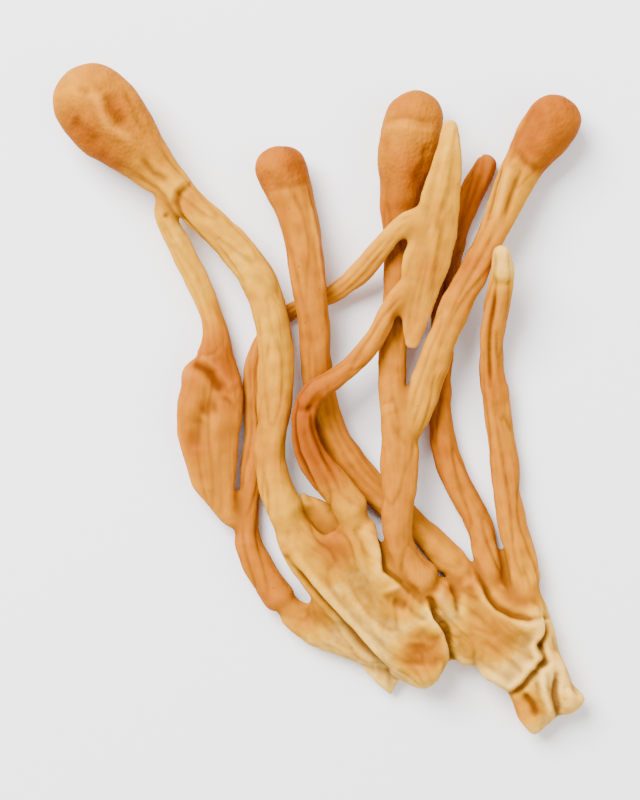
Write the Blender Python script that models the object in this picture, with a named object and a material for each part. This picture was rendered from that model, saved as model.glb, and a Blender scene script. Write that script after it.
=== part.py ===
"""A dried tuft of cordyceps, lying on a table: ten fruit bodies that grew out of one crumpled base.

Every solid is one piece of the tuft as it would be pulled apart on a bench. Lengths are in
millimetres up to the point where a mesh is made, and metres from there on.
X runs across the tuft, Y from its base to its clubs, and Z up from the table.
"""

import math
from dataclasses import dataclass

import bmesh
import bpy
from mathutils import Matrix, Vector

MM = 0.001

# Driving sizes, in millimetres.
GAP = 0.3  # air between two pieces that touch
RING_SPACING = 2.2  # along a stalk, between two rings of its skin
RING_SIDES = 12
CURVE_STEPS = 24  # samples between two stations, to measure a curve's length
HEADING_STEP = 0.02  # of the way between two stations, to find which way a curve heads
DOME_RINGS = 3  # rings that round off a club or a blunt end
DOME_TALL = 0.9  # height of a rounded end, as a share of its radius
DOME_CAP = 0.35  # how far short of its pole a rounded end stops, in steps of its rings
SINK = 0.12  # how far the lowest spots are pressed flat against the table
BASE_SINK = 0.45  # the same under the base
PLANE_TOLERANCE = 1e-5
TABLE_SIZE = 100.0
STRAND_SPACING = 1.5  # between rings of the strands that the base is made of
BASE_VOXEL = 0.6
BASE_SMOOTHING = 4
BASE_DETAIL = 0.34  # share of the base's triangles that stay
CUT_REACH = 7.0  # how far up a stalk the cutter of its seat goes
SKIN_ROUGHNESS = 0.7

UP = Vector((0.0, 0.0, 1.0))
MIDDLE = Vector((-0.05, 0.92, 0.0))  # of the tuft's box, counted as the stations below are


@dataclass
class Stalk:
    """A fruit body or a strand: its centre line, and how wide and deep it is there."""

    name: str
    colour: tuple
    stations: tuple  # each is x, y, z, half width and, if it isn't round, half depth
    blunt_root: bool = False  # rounded at its lower end too, where it doesn't meet a flat face


# Colours of the dried skin: deep orange clubs, amber stalks, straw-yellow base.
DEEP_ORANGE = (0.78, 0.36, 0.09)
AMBER = (0.84, 0.50, 0.18)
HONEY = (0.86, 0.60, 0.27)
STRAW = (0.86, 0.72, 0.43)

BIG_CLUB = Stalk(
    name="big_club",
    colour=AMBER,
    stations=(
        (-3.1, -11.6, 3.7, 1.9),
        (-4.4, -8.7, 3.7, 1.65),
        (-5.0, -4.8, 3.7, 1.55),
        (-4.5, -0.6, 3.8, 1.7),
        (-4.3, 4.4, 4.0, 1.9),
        (-4.5, 8.0, 4.2, 1.9),
        (-5.3, 11.2, 4.2, 1.8),
        (-7.1, 14.7, 4.0, 1.75),
        (-9.7, 17.6, 3.8, 1.7),
        (-12.4, 20.1, 3.7, 1.6),
        (-14.7, 22.3, 3.8, 1.75),
        (-16.3, 24.0, 3.9, 2.1, 1.9),
        (-18.2, 26.0, 4.0, 2.8, 2.6),
        (-20.3, 28.2, 4.0, 3.8, 3.5),
        (-22.2, 30.2, 4.1, 4.2, 4.1),
        (-23.6, 31.7, 4.1, 4.0, 4.0),
    ),
)
SIDE_STALK = Stalk(
    name="side_stalk",
    colour=HONEY,
    blunt_root=True,
    stations=(
        (-7.9, -12.6, 1.8, 1.0, 0.9),
        (-9.3, -11.0, 2.0, 1.2, 1.0),
        (-10.6, -8.6, 2.1, 2.0, 1.1),
        (-11.4, -4.6, 2.2, 3.1, 1.1),
        (-11.3, -0.4, 2.3, 3.4, 1.1),
        (-10.9, 3.0, 2.2, 2.8, 1.2),
        (-10.5, 6.0, 2.0, 1.7, 1.2),
        (-10.9, 8.9, 1.9, 1.2),
        (-12.2, 12.3, 2.1, 1.2),
        (-14.0, 16.0, 2.5, 1.2),
        (-15.4, 18.6, 2.9, 1.15),
        (-16.1, 20.4, 3.4, 1.15),
        (-15.9, 21.9, 3.7, 1.15),
    ),
)
MIDDLE_CLUB = Stalk(
    name="middle_club",
    colour=AMBER,
    stations=(
        (15.0, -17.2, 2.1, 1.6),
        (12.2, -14.4, 1.7, 1.55),
        (9.8, -12.1, 1.6, 1.55),
        (7.2, -9.9, 1.6, 1.55),
        (4.8, -7.6, 1.6, 1.55),
        (2.7, -4.8, 1.7, 1.55),
        (1.0, -1.8, 1.9, 1.55),
        (0.0, 2.1, 2.3, 1.55),
        (-0.3, 6.9, 3.5, 1.6),
        (-0.9, 12.2, 4.1, 1.7),
        (-1.8, 18.3, 3.6, 1.9),
        (-2.9, 22.2, 3.0, 2.3),
        (-3.9, 24.8, 2.8, 2.7),
    ),
)
ORANGE_STALK = Stalk(
    name="orange_stalk",
    colour=DEEP_ORANGE,
    stations=(
        (3.7, -11.3, 4.2, 1.75),
        (2.8, -9.7, 4.3, 1.7),
        (1.1, -7.6, 4.5, 1.75),
        (-0.7, -5.2, 4.7, 1.6),
        (-1.5, -2.8, 5.1, 1.35),
        (-1.6, -0.5, 5.5, 1.2),
        (-0.5, 1.5, 5.4, 1.15),
        (1.8, 3.0, 5.3, 1.05),
        (4.5, 5.1, 4.9, 1.05),
        (6.4, 8.2, 4.9, 1.0),
        (8.0, 11.4, 5.1, 1.0),
        (8.9, 12.6, 5.1, 0.9),
    ),
)
FLAT_BLADE = Stalk(
    name="flat_blade",
    colour=STRAW,
    blunt_root=True,
    stations=(
        (9.6, 6.4, 4.9, 0.7, 0.5),
        (9.9, 9.2, 4.9, 1.6, 0.75),
        (10.4, 12.4, 5.0, 2.2, 0.85),
        (11.2, 15.2, 5.2, 2.6, 0.85),
        (11.8, 18.0, 5.5, 2.5, 0.85),
        (12.4, 20.8, 5.8, 2.2, 0.8),
        (13.0, 23.6, 6.1, 1.8, 0.75),
        (13.4, 26.4, 6.2, 1.35, 0.7),
        (13.5, 28.8, 6.2, 0.8, 0.6),
    ),
)
TALL_CLUB = Stalk(
    name="tall_club",
    colour=AMBER,
    stations=(
        (11.6, -18.4, 4.0, 1.75),
        (9.6, -16.8, 4.4, 1.65),
        (8.4, -14.6, 4.8, 1.5),
        (8.1, -11.4, 5.0, 1.5),
        (8.3, -7.5, 4.6, 1.8, 1.6),
        (8.5, -3.6, 4.0, 2.0, 1.6),
        (7.9, -0.2, 3.5, 1.55),
        (7.7, 4.0, 2.8, 1.4),
        (7.9, 8.0, 2.3, 1.4),
        (8.2, 12.0, 2.1, 1.4),
        (8.3, 16.0, 2.1, 1.4),
        (8.3, 19.4, 2.3, 1.6),
        (8.7, 22.2, 2.8, 2.2),
        (9.1, 25.2, 3.1, 3.0),
        (9.6, 28.0, 3.2, 3.2),
        (10.0, 30.2, 3.2, 2.9),
    ),
)
RIGHT_CLUB = Stalk(
    name="right_club",
    colour=AMBER,
    stations=(
        (9.2, -3.2, 4.0, 1.3),
        (10.2, -0.6, 4.0, 1.6),
        (11.2, 2.4, 4.0, 1.6),
        (12.6, 6.4, 4.3, 1.5),
        (14.4, 10.9, 4.4, 1.45),
        (16.4, 14.7, 4.2, 1.45),
        (18.2, 18.3, 3.9, 1.5),
        (19.8, 22.1, 3.4, 1.8),
        (21.4, 25.2, 3.1, 2.1),
        (23.2, 27.8, 3.0, 2.65),
        (24.5, 29.8, 3.0, 2.8),
    ),
)
BACK_STALK = Stalk(
    name="back_stalk",
    colour=DEEP_ORANGE,
    stations=(
        (18.0, -18.0, 2.0, 1.3),
        (17.6, -15.6, 1.8, 1.35),
        (16.8, -12.1, 1.6, 1.4),
        (15.0, -8.8, 1.5, 1.4),
        (13.3, -4.8, 1.4, 1.35),
        (12.7, -0.4, 1.3, 1.25),
        (12.8, 4.4, 1.2, 1.15),
        (12.9, 9.4, 1.2, 1.15),
        (13.6, 15.0, 1.3, 1.15),
        (15.0, 20.0, 1.4, 1.2),
        (16.5, 23.4, 1.4, 1.25),
        (17.6, 25.4, 1.4, 1.1),
    ),
)
OUTER_STALK = Stalk(
    name="outer_stalk",
    colour=HONEY,
    stations=(
        (21.7, -19.2, 2.2, 1.6),
        (21.2, -15.8, 2.0, 1.5),
        (20.0, -11.7, 1.7, 1.5),
        (19.6, -7.5, 1.5, 1.4),
        (19.1, -3.4, 1.5, 1.4),
        (18.5, 0.8, 1.7, 1.4),
        (18.0, 4.5, 2.2, 1.25),
        (18.1, 8.3, 3.2, 1.3),
        (18.7, 12.0, 4.8, 1.3),
        (19.0, 14.4, 5.9, 1.2),
        (18.7, 15.7, 6.4, 1.0),
    ),
)
THREAD_STALK = Stalk(
    name="thread_stalk",
    colour=AMBER,
    stations=(
        (-3.5, -20.8, 1.8, 1.6),
        (-6.1, -17.2, 1.6, 1.5),
        (-7.5, -13.2, 1.5, 1.35),
        (-7.1, -8.3, 1.3, 1.15),
        (-6.8, -3.0, 1.1, 1.0),
        (-7.0, 2.0, 1.0, 0.9),
        (-6.5, 6.0, 1.0, 0.85),
        (-4.4, 9.0, 1.0, 0.85),
        (-1.6, 10.6, 1.1, 0.85),
        (1.3, 11.6, 1.4, 0.95),
        (4.5, 13.9, 2.9, 1.1),
        (6.6, 16.5, 4.4, 1.1),
        (8.6, 18.6, 5.3, 1.0),
        (10.0, 19.7, 5.4, 0.9),
    ),
)

ROOTED = (
    BIG_CLUB,
    MIDDLE_CLUB,
    ORANGE_STALK,
    TALL_CLUB,
    BACK_STALK,
    OUTER_STALK,
    THREAD_STALK,
)
# Where one piece runs into another, and is cut back from it by the air between them.
FORKS = (
    (SIDE_STALK, BIG_CLUB),
    (SIDE_STALK, THREAD_STALK),
    (RIGHT_CLUB, TALL_CLUB),
    (ORANGE_STALK, FLAT_BLADE),
    (THREAD_STALK, FLAT_BLADE),
)

# The base is the fused feet of the fruit bodies: each strand carries one of them on downwards.
FEET = (
    Stalk("foot_of_big_club", STRAW, (
        (-3.1, -11.6, 3.7, 1.9),
        (-1.6, -14.6, 3.8, 2.4, 2.2),
        (1.2, -17.9, 3.8, 2.9, 2.3),
        (4.8, -21.2, 3.7, 3.0, 2.4),
        (8.2, -24.2, 3.5, 3.0, 2.6),
        (10.3, -26.3, 3.2, 2.8, 2.7),
    )),
    Stalk("foot_of_orange_stalk", STRAW, (
        (3.7, -11.3, 4.2, 1.75),
        (4.4, -14.0, 4.2, 2.0),
        (5.9, -17.4, 4.1, 2.4, 2.2),
        (8.4, -20.8, 3.9, 2.8, 2.4),
        (10.4, -24.2, 3.6, 2.9, 2.6),
        (10.6, -26.6, 3.3, 2.7, 2.6),
    )),
    Stalk("foot_of_tall_club", STRAW, (
        (11.6, -18.4, 4.0, 1.75),
        (13.9, -20.8, 3.6, 2.0),
        (16.4, -23.4, 3.2, 2.5, 2.1),
        (19.4, -25.8, 2.8, 2.7, 2.1),
        (21.8, -28.8, 2.6, 2.4, 2.2),
        (22.8, -31.8, 2.4, 2.2, 2.1),
    )),
    Stalk("foot_of_middle_club", STRAW, (
        (15.0, -17.2, 2.1, 1.6),
        (17.0, -19.8, 2.4, 1.7),
        (18.4, -22.6, 2.6, 2.0),
        (20.0, -25.6, 2.6, 2.1),
    )),
    Stalk("foot_of_back_stalk", STRAW, (
        (18.0, -18.0, 2.0, 1.3),
        (19.2, -20.6, 2.2, 1.6),
        (20.4, -23.6, 2.5, 1.9),
    )),
    Stalk("foot_of_outer_stalk", STRAW, (
        (21.7, -19.2, 2.2, 1.6),
        (22.4, -22.4, 2.3, 2.0),
        (23.2, -25.8, 2.5, 2.1),
        (24.5, -29.2, 2.4, 2.1),
        (25.2, -31.2, 2.3, 1.9),
    )),
    Stalk("foot_of_thread_stalk", STRAW, (
        (-3.5, -20.8, 1.8, 1.6),
        (-1.0, -22.9, 1.8, 1.8, 1.7),
        (2.4, -24.2, 1.8, 1.9, 1.7),
        (6.0, -25.4, 2.0, 2.0, 1.8),
        (9.4, -26.2, 2.2, 2.1, 2.0),
    )),
    Stalk("web_of_left_feet", STRAW, (
        (1.4, -13.6, 4.0, 1.2, 0.9),
        (2.2, -16.4, 4.1, 2.6, 1.4),
        (5.2, -20.0, 4.0, 3.4, 1.7),
    ), blunt_root=True),
    Stalk("link_of_feet", STRAW, (
        (9.8, -24.4, 2.4, 1.8, 1.6),
        (13.6, -24.6, 2.2, 1.9, 1.6),
        (17.6, -25.2, 2.2, 1.9, 1.6),
    ), blunt_root=True),
)


def curve_at(knots, t):
    """The smooth curve through the knots (a Catmull-Rom spline), at t of them from the first."""
    last = len(knots) - 1
    i = min(int(t), last - 1)
    u = t - i
    before = knots[i - 1] if i > 0 else 2 * knots[i] - knots[i + 1]
    after = knots[i + 2] if i + 2 <= last else 2 * knots[i + 1] - knots[i]
    start, end = knots[i], knots[i + 1]
    return 0.5 * (
        2 * start
        + (end - before) * u
        + (2 * before - 5 * start + 4 * end - after) * u * u
        + (3 * start - before - 3 * end + after) * u**3
    )


def rings_along(stalk, spacing):
    """Evenly spaced rings of a stalk, each a centre, a heading, a half width and a half depth."""
    centres = [Vector(s[:3]) for s in stalk.stations]
    sizes = [Vector((s[3], s[-1], 0.0)) for s in stalk.stations]
    fine = [i / CURVE_STEPS for i in range(CURVE_STEPS * (len(centres) - 1) + 1)]
    points = [curve_at(centres, t) for t in fine]
    reached = [0.0]
    for a, b in zip(points, points[1:]):
        reached.append(reached[-1] + (b - a).length)
    count = max(2, round(reached[-1] / spacing))
    rings = []
    i = 0
    for k in range(count + 1):
        goal = reached[-1] * k / count
        while i < len(reached) - 2 and reached[i + 1] < goal:
            i += 1
        share = (goal - reached[i]) / (reached[i + 1] - reached[i])
        t = fine[i] + share / CURVE_STEPS
        ahead = curve_at(centres, min(t + HEADING_STEP, fine[-1]))
        behind = curve_at(centres, max(t - HEADING_STEP, 0.0))
        wide, deep, _ = curve_at(sizes, t)
        rings.append((curve_at(centres, t), (ahead - behind).normalized(), wide, deep))
    return rings


def domed(rings, at_root):
    """The rings with a rounded end added, at the root or at the tip."""
    centre, heading, wide, deep = rings[0] if at_root else rings[-1]
    outward = -heading if at_root else heading
    dome = []
    for k in range(1, DOME_RINGS + 1):
        angle = math.radians(90) * k / (DOME_RINGS + DOME_CAP)
        rise = outward * min(wide, deep) * DOME_TALL * math.sin(angle)
        shrink = math.cos(angle)
        dome.append((centre + rise, heading, wide * shrink, deep * shrink))
    return dome[::-1] + rings if at_root else rings + dome


def skin_of(rings, swell=0.0):
    """A closed mesh round the rings, each a polygon that lies level across the stalk."""
    bm = bmesh.new()
    loops = []
    for centre, heading, wide, deep in rings:
        across = heading.cross(UP).normalized()
        over = across.cross(heading)
        frame = Matrix((across * (wide + swell), over * (deep + swell), heading)).transposed()
        ring = bmesh.ops.create_circle(bm, segments=RING_SIDES, radius=1.0)["verts"]
        bmesh.ops.transform(bm, matrix=Matrix.Translation(centre) @ frame.to_4x4(), verts=ring)
        loops.append(ring)
    for lower, upper in zip(loops, loops[1:]):
        edges = [e for ring in (lower, upper) for e in ring_edges(ring)]
        bmesh.ops.bridge_loops(bm, edges=edges)
    for ring in (loops[0], loops[-1]):
        bmesh.ops.contextual_create(bm, geom=ring_edges(ring))
    bmesh.ops.recalc_face_normals(bm, faces=bm.faces)
    return bm


def ring_edges(ring):
    """The edges that join a ring's own vertices."""
    members = set(ring)
    return list({e for v in ring for e in v.link_edges if e.other_vert(v) in members})


def pressed_flat(bm):
    """Cuts away what reaches below the table, which leaves a small flat where a piece rests."""
    if min(v.co.z for v in bm.verts) >= 0.0:
        return
    everything = bm.verts[:] + bm.edges[:] + bm.faces[:]
    cut = bmesh.ops.bisect_plane(
        bm, geom=everything, dist=PLANE_TOLERANCE, plane_no=-UP, clear_outer=True
    )
    rim = [e for e in cut["geom_cut"] if isinstance(e, bmesh.types.BMEdge)]
    bmesh.ops.contextual_create(bm, geom=rim)
    bmesh.ops.recalc_face_normals(bm, faces=bm.faces)


def dried_skin(name, colour):
    """A matt, slightly waxy material of one colour."""
    material = bpy.data.materials.new(name)
    material.use_nodes = True
    shader = material.node_tree.nodes["Principled BSDF"]
    shader.inputs["Base Color"].default_value = (*colour, 1.0)
    shader.inputs["Roughness"].default_value = SKIN_ROUGHNESS
    shader.inputs["Metallic"].default_value = 0.0
    return material


def place(name, bm, colour, origin):
    """An object of this mesh, with its own material and its origin at its root.

    The middle of the tuft's box comes to the world's origin.
    """
    bmesh.ops.translate(bm, vec=-origin, verts=bm.verts)
    bmesh.ops.scale(bm, vec=(MM, MM, MM), verts=bm.verts)
    mesh = bpy.data.meshes.new(name)
    bm.to_mesh(mesh)
    bm.free()
    mesh.shade_smooth()
    mesh.materials.append(dried_skin(name + "_skin", colour))
    obj = bpy.data.objects.new(name, mesh)
    obj.location = (origin - MIDDLE) * MM
    bpy.context.scene.collection.objects.link(obj)
    return obj


def as_cutter(obj):
    """Marks a helper that only takes material away from another piece."""
    obj.hide_render = True
    obj.display_type = "WIRE"
    return obj


def cut_by(obj, cutter):
    """Takes the cutter's shape out of an object."""
    boolean = obj.modifiers.new("clear_of_" + cutter.name, "BOOLEAN")
    boolean.operation = "DIFFERENCE"
    boolean.object = cutter


def air_round(stalk, rings):
    """A cutter as thick as these rings of a stalk and the air round them."""
    bm = skin_of(rings, swell=GAP)
    bmesh.ops.translate(bm, vec=(0, 0, -SINK), verts=bm.verts)
    return as_cutter(place("air_round_" + stalk.name, bm, stalk.colour, rings[0][0]))


def air_at_root(stalk):
    """A cutter for the seat of a stalk in the base, and for the air beside its lowest part."""
    rings = rings_along(stalk, RING_SPACING)
    reach = max(2, round(CUT_REACH / RING_SPACING))
    centre, heading, wide, deep = rings[0]
    seat = (centre - heading * GAP / 2, heading, wide, deep)
    return air_round(stalk, [seat] + rings[1 : reach + 1])


def body_rings(stalk, spacing=RING_SPACING):
    """All of a stalk's rings, with its rounded tip and its flat or rounded root."""
    rings = domed(rings_along(stalk, spacing), at_root=False)
    return domed(rings, at_root=True) if stalk.blunt_root else rings


def fruit_body(stalk):
    """The solid of one stalk, which starts half a gap above its seat in the base."""
    rings = body_rings(stalk)
    if not stalk.blunt_root:
        centre, heading, wide, deep = rings[0]
        rings[0] = (centre + heading * GAP / 2, heading, wide, deep)
    bm = skin_of(rings)
    bmesh.ops.translate(bm, vec=(0, 0, -SINK), verts=bm.verts)
    pressed_flat(bm)
    return place(stalk.name, bm, stalk.colour, Vector(stalk.stations[0][:3]))


def table():
    """A cutter that stands for the table, to press the underside of the base flat."""
    bm = bmesh.new()
    bmesh.ops.create_cube(bm, size=TABLE_SIZE)
    bmesh.ops.translate(bm, vec=(0, 0, -TABLE_SIZE / 2), verts=bm.verts)
    return as_cutter(place("table", bm, STRAW, Vector()))


def base_of(feet, grown_from_it):
    """The fused feet as one solid, cut clear of the stalks that stand in it."""
    whole = bmesh.new()
    for foot in feet:
        strand = skin_of(body_rings(foot, STRAND_SPACING))
        mesh = bpy.data.meshes.new(foot.name)
        strand.to_mesh(mesh)
        strand.free()
        whole.from_mesh(mesh)
        bpy.data.meshes.remove(mesh)
    bmesh.ops.translate(whole, vec=(0, 0, -BASE_SINK), verts=whole.verts)
    base = place("base", whole, STRAW, Vector(feet[0].stations[-1][:3]))
    fuse = base.modifiers.new("fuse_feet", "REMESH")
    fuse.mode = "VOXEL"
    fuse.voxel_size = BASE_VOXEL * MM
    soften = base.modifiers.new("soften", "SMOOTH")
    soften.iterations = BASE_SMOOTHING
    thin_out = base.modifiers.new("thin_out", "DECIMATE")
    thin_out.ratio = BASE_DETAIL
    for stalk in grown_from_it:
        cut_by(base, air_at_root(stalk))
    cut_by(base, table())
    return base


def main():
    """Builds the tuft."""
    for obj in list(bpy.data.objects):
        bpy.data.objects.remove(obj)
    pieces = {}
    for stalk in ROOTED + (SIDE_STALK, FLAT_BLADE, RIGHT_CLUB):
        pieces[stalk.name] = fruit_body(stalk)
    base_of(FEET, ROOTED)
    air = {}
    for fork, parent in FORKS:
        if parent.name not in air:
            air[parent.name] = air_round(parent, body_rings(parent))
        cut_by(pieces[fork.name], air[parent.name])


main()
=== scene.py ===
"""Looks of a dried cordyceps tuft: ten fruit bodies that grew out of one crumpled base.

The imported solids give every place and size. Their skins are grown together into one, wrinkled
as a whole, and then parted again, so that nothing shows where one piece meets the next.
"""

from __future__ import annotations

import logging
import math
from collections.abc import Iterator
from dataclasses import dataclass, field
from enum import Enum

import bmesh
import bpy
import numpy as np
from mathutils import Matrix, Vector, noise
from mathutils.bvhtree import BVHTree
from mathutils.kdtree import KDTree


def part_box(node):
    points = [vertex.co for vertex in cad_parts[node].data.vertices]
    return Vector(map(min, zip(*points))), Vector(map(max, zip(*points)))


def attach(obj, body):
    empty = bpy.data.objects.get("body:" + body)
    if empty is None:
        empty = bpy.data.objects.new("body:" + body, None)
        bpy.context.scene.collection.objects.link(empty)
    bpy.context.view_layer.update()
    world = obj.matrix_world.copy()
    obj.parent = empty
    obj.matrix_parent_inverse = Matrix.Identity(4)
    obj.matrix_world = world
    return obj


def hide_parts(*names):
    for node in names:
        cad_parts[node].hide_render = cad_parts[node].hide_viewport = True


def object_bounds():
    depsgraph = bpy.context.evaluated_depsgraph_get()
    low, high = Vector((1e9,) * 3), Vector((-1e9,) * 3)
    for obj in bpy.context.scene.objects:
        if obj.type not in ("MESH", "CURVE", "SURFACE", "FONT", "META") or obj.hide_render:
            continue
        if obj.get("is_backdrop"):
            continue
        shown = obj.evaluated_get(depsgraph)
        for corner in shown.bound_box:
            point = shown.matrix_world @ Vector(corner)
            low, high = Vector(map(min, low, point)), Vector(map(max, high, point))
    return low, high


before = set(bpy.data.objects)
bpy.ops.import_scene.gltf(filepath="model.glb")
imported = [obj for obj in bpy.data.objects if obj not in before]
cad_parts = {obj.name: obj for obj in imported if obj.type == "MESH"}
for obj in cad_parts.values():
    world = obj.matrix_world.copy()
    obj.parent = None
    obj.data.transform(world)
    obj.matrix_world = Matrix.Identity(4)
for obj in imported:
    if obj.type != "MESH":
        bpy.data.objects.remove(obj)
log = logging.getLogger("tuft")

MM = 0.001
UP = np.array((0.0, 0.0, 1.0))

# How the skins are grown together.
VOXEL = 0.17 * MM  # between two vertices of the fused skin
DOUBLES = 0.001 * MM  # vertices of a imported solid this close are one
QUAD_ANGLE = math.radians(40)  # how far two triangles may be from flat to be merged
QUAD_SHAPE = math.radians(60)  # and how far their quad may be from a rectangle
ROOT_REACH = 0.45 * MM  # faces this close to a neighbour grow on into it
ROOT_DEPTH = 1.3 * MM  # how far they do
ROOT_FACING = 0.3  # how straight they look at it, as a cosine
SPREAD_SHARE = 0.6  # how much of its neighbours' average a vertex takes in a round of smoothing
FIRST_SMOOTHING = 4  # rounds that take the voxel steps out
JOIN_SMOOTHING = 26  # rounds that round off a fork
JOIN_REACH = 1.5 * MM  # how far round a join its smoothing goes
CALM_REACH = 1.2 * MM  # how far from a join the wrinkles of one piece reach their full depth
ROUND_LOSS = 0.05  # share of its radius that a stalk loses when its facets are rounded
OWNER_SMOOTHING = 10  # rounds that straighten the line where two pieces meet
RIM_DEPTH = 0.25 * MM  # how far a parted piece's rim turns in before it is closed

# How a stalk's centre line is found.
LINE_SPACING = 1.0 * MM  # between two of its knots
LINE_ROUNDS = 3  # how often it is found again from the one before
LINE_SMOOTHING = 3
END_KNOTS = 4  # knots inside each rounded end
HEADING_KNOTS = 5  # knots that give an end its heading

# How strokes, patches and flaps are shaped.
STROKE_TAPER = 0.25  # share of a stroke over which each of its ends fades
STROKE_END = 0.3  # depth at its very ends, as a share of its own
LIP_STEP = 0.9  # how wide the step of a lip is, in widths of the stroke
LIP_RISE = (0.5, 3.0)  # its upper side: share of the depth, and reach in widths of the stroke
LIP_DROP = (0.8, 1.3)  # its lower side, the same
SHADE_WIDTH = 0.8  # width of the painted shade at a stroke's bottom, as a share of the stroke's own
SHADE_SLOPES = (0.7, 2.4)  # a stroke's depth over its width: no painted shade below, full painted shade above
STROKE_SMOOTHING = 5  # rounds that take the sharpness out of the steep strokes
STEEP_SHADE = (0.02, 0.2)  # the shade at which they start to, and where they do it fully
STEEP_ROUNDS = 6  # how far round a steep stroke its smoothing goes
PATCH_EDGE = (0.5, 1.4)  # where a patch starts to fade and where it ends, in its own sizes
FLAP_CUTS = 8
FLAP_HEEL = 0.4  # how much of its arch a flap has where it starts

# How a stalk wrinkles, in millimetres and shares.
THINNEST = 0.3  # least radius, so that the way round stays defined on the centre line
FURROW_LENGTH = 9.0
FURROW_LEVEL = 0.75  # height of the grooves' noise that leaves the skin where it is
FINE_LENGTH = 3.5  # fine wrinkles
FINE_COUNT = 3.2  # for each furrow
FINE_SHARE = 0.18  # of a furrow's depth
FINE_LEVEL = 0.7  # the same for the fine wrinkles, and for the base
OVAL_DRIFT = 2.0  # how far the oval turns on its way along, in radians
OVAL_RATE = 0.08  # and how often, for each millimetre
LUMP_SIZE = 3.2
DENT_SIZE = 1.3
DENT_SHARE = 0.5  # of a lump's height
FINE_SHIFT, LUMP_SHIFT, DENT_SHIFT = 5.0, 9.0, 17.0  # from the furrows' noise to these
HEAD_EDGE = 0.08  # share of the length over which a club begins

# How the base wrinkles, in millimetres.
FOLD_LEAN = -50.0  # which way its folds run, in degrees from the right
WARP, WARP_SIZE, WARP_SHIFT = 1.4, 4.0, 31.0  # what makes the folds wander
PLEAT_SIZE, PLEAT_SHIFT = (2.1, 2.6, 8.0), 3.0  # across the folds, up and along them
CRUMPLE_SIZE, CRUMPLE_SHIFT = 1.7, 12.0
CRINKLE, CRINKLE_SIZE, CRINKLE_SHIFT = 0.05, (0.8, 0.9, 2.4), 21.0
UPPER_SIDE = (-0.1, 0.5)  # how far up a face looks where strokes start, and where they are whole

# What all the skin shares.
RIDGE_GAIN = 2.2  # how steeply a ridge rises out of its valley
SHARED_DEPTH, SHARED_SIZE, SHARED_SHIFT = 0.10, 2.0 * MM, 40.0
# How concave the skin is at two scales: the finish paints shade into its hollows and a highlight
# onto its ridges.
HOLLOWS = (  # rounds of smoothing, bias and depth of a full hollow in millimetres, and weight
    (3, 0.0, 0.03, 0.45),
    (26, 0.12, 0.16, 0.55),
)
HOLLOW_ROUNDS, SHADE_ROUNDS, RIPENESS_ROUNDS, HEAD_ROUNDS = 2, 3, 60, 10  # how far each runs out


def eased(value: np.ndarray, low: float, high: float) -> np.ndarray:
    """A smooth step from 0 at low to 1 at high.

    Args:
        value: What is stepped.
        low: Where the step starts.
        high: Where it ends.

    Returns:
        The step, as an array like value.
    """
    share = np.clip((value - low) / (high - low), 0.0, 1.0)
    return share * share * (3.0 - 2.0 * share)


def noise_at(places: np.ndarray, shift: float = 0.0) -> np.ndarray:
    """Smooth noise from about -1 to 1, with one lump about every unit.

    Args:
        places: A row per point.
        shift: Moves the pattern, so that two uses differ.

    Returns:
        The noise, a number per point.
    """
    rows = places.tolist()
    return np.array([noise.noise(Vector((x + shift, y - shift, z))) for x, y, z in rows])


def ridges_at(places: np.ndarray, shift: float = 0.0) -> np.ndarray:
    """Noise with sharp valleys and round backs between them, from 0 in a valley to 1.

    Args:
        places: A row per point.
        shift: Moves the pattern.

    Returns:
        The height, a number per point.
    """
    return np.sqrt(np.minimum(1.0, np.abs(noise_at(places, shift)) * RIDGE_GAIN))


def placed(name: str, data: bpy.types.ID) -> bpy.types.Object:
    """Puts a mesh, lamp or camera into the scene as an object."""
    obj = bpy.data.objects.new(name, data)
    bpy.context.scene.collection.objects.link(obj)
    return obj


class Skin:
    """A mesh as arrays, with a row per vertex."""

    def __init__(self, mesh: bpy.types.Mesh) -> None:
        """Reads the mesh's places and edges.

        Args:
            mesh: The fused skin.
        """
        self.mesh = mesh
        count = len(mesh.vertices)
        self.places = np.empty(count * 3)
        mesh.vertices.foreach_get("co", self.places)
        self.places = self.places.reshape(-1, 3)
        ends = np.empty(len(mesh.edges) * 2, dtype=np.int64)
        mesh.edges.foreach_get("vertices", ends)
        self.ends = ends.reshape(-1, 2)
        self.degree = np.bincount(ends, minlength=count)

    def neighbour_mean(self, values: np.ndarray) -> np.ndarray:
        """The mean of a value over each vertex's neighbours."""
        a, b = self.ends.T
        columns = values.reshape(len(values), -1).T
        total = [
            np.bincount(a, column[b], len(values)) + np.bincount(b, column[a], len(values))
            for column in columns
        ]
        return (np.array(total) / self.degree).T.reshape(values.shape)

    def spread(
        self, values: np.ndarray, rounds: int, share: np.ndarray | float = SPREAD_SHARE
    ) -> np.ndarray:
        """Evens a value out over the skin.

        Args:
            values: A number or a row per vertex.
            rounds: How often it is averaged with its neighbours.
            share: How much of the average each round takes, for all or per vertex.

        Returns:
            The evened value.
        """
        if isinstance(share, np.ndarray) and values.ndim > 1:
            share = share[:, None]
        for _ in range(rounds):
            values = values + share * (self.neighbour_mean(values) - values)
        return values

    def write_places(self) -> None:
        """Puts the places back into the mesh."""
        self.mesh.vertices.foreach_set("co", self.places.ravel())
        self.mesh.update()

    def normals(self) -> np.ndarray:
        """The vertex normals of the mesh as it stands."""
        found = np.empty(len(self.places) * 3)
        self.mesh.vertices.foreach_get("normal", found)
        return found.reshape(-1, 3)

    def store(self, name: str, values: np.ndarray) -> None:
        """Keeps a number or a vector per vertex as a named attribute."""
        kind, part = ("FLOAT_VECTOR", "vector") if values.ndim > 1 else ("FLOAT", "value")
        attribute = self.mesh.attributes.new(name, kind, "POINT")
        attribute.data.foreach_set(part, values.astype(np.float32).ravel())


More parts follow.
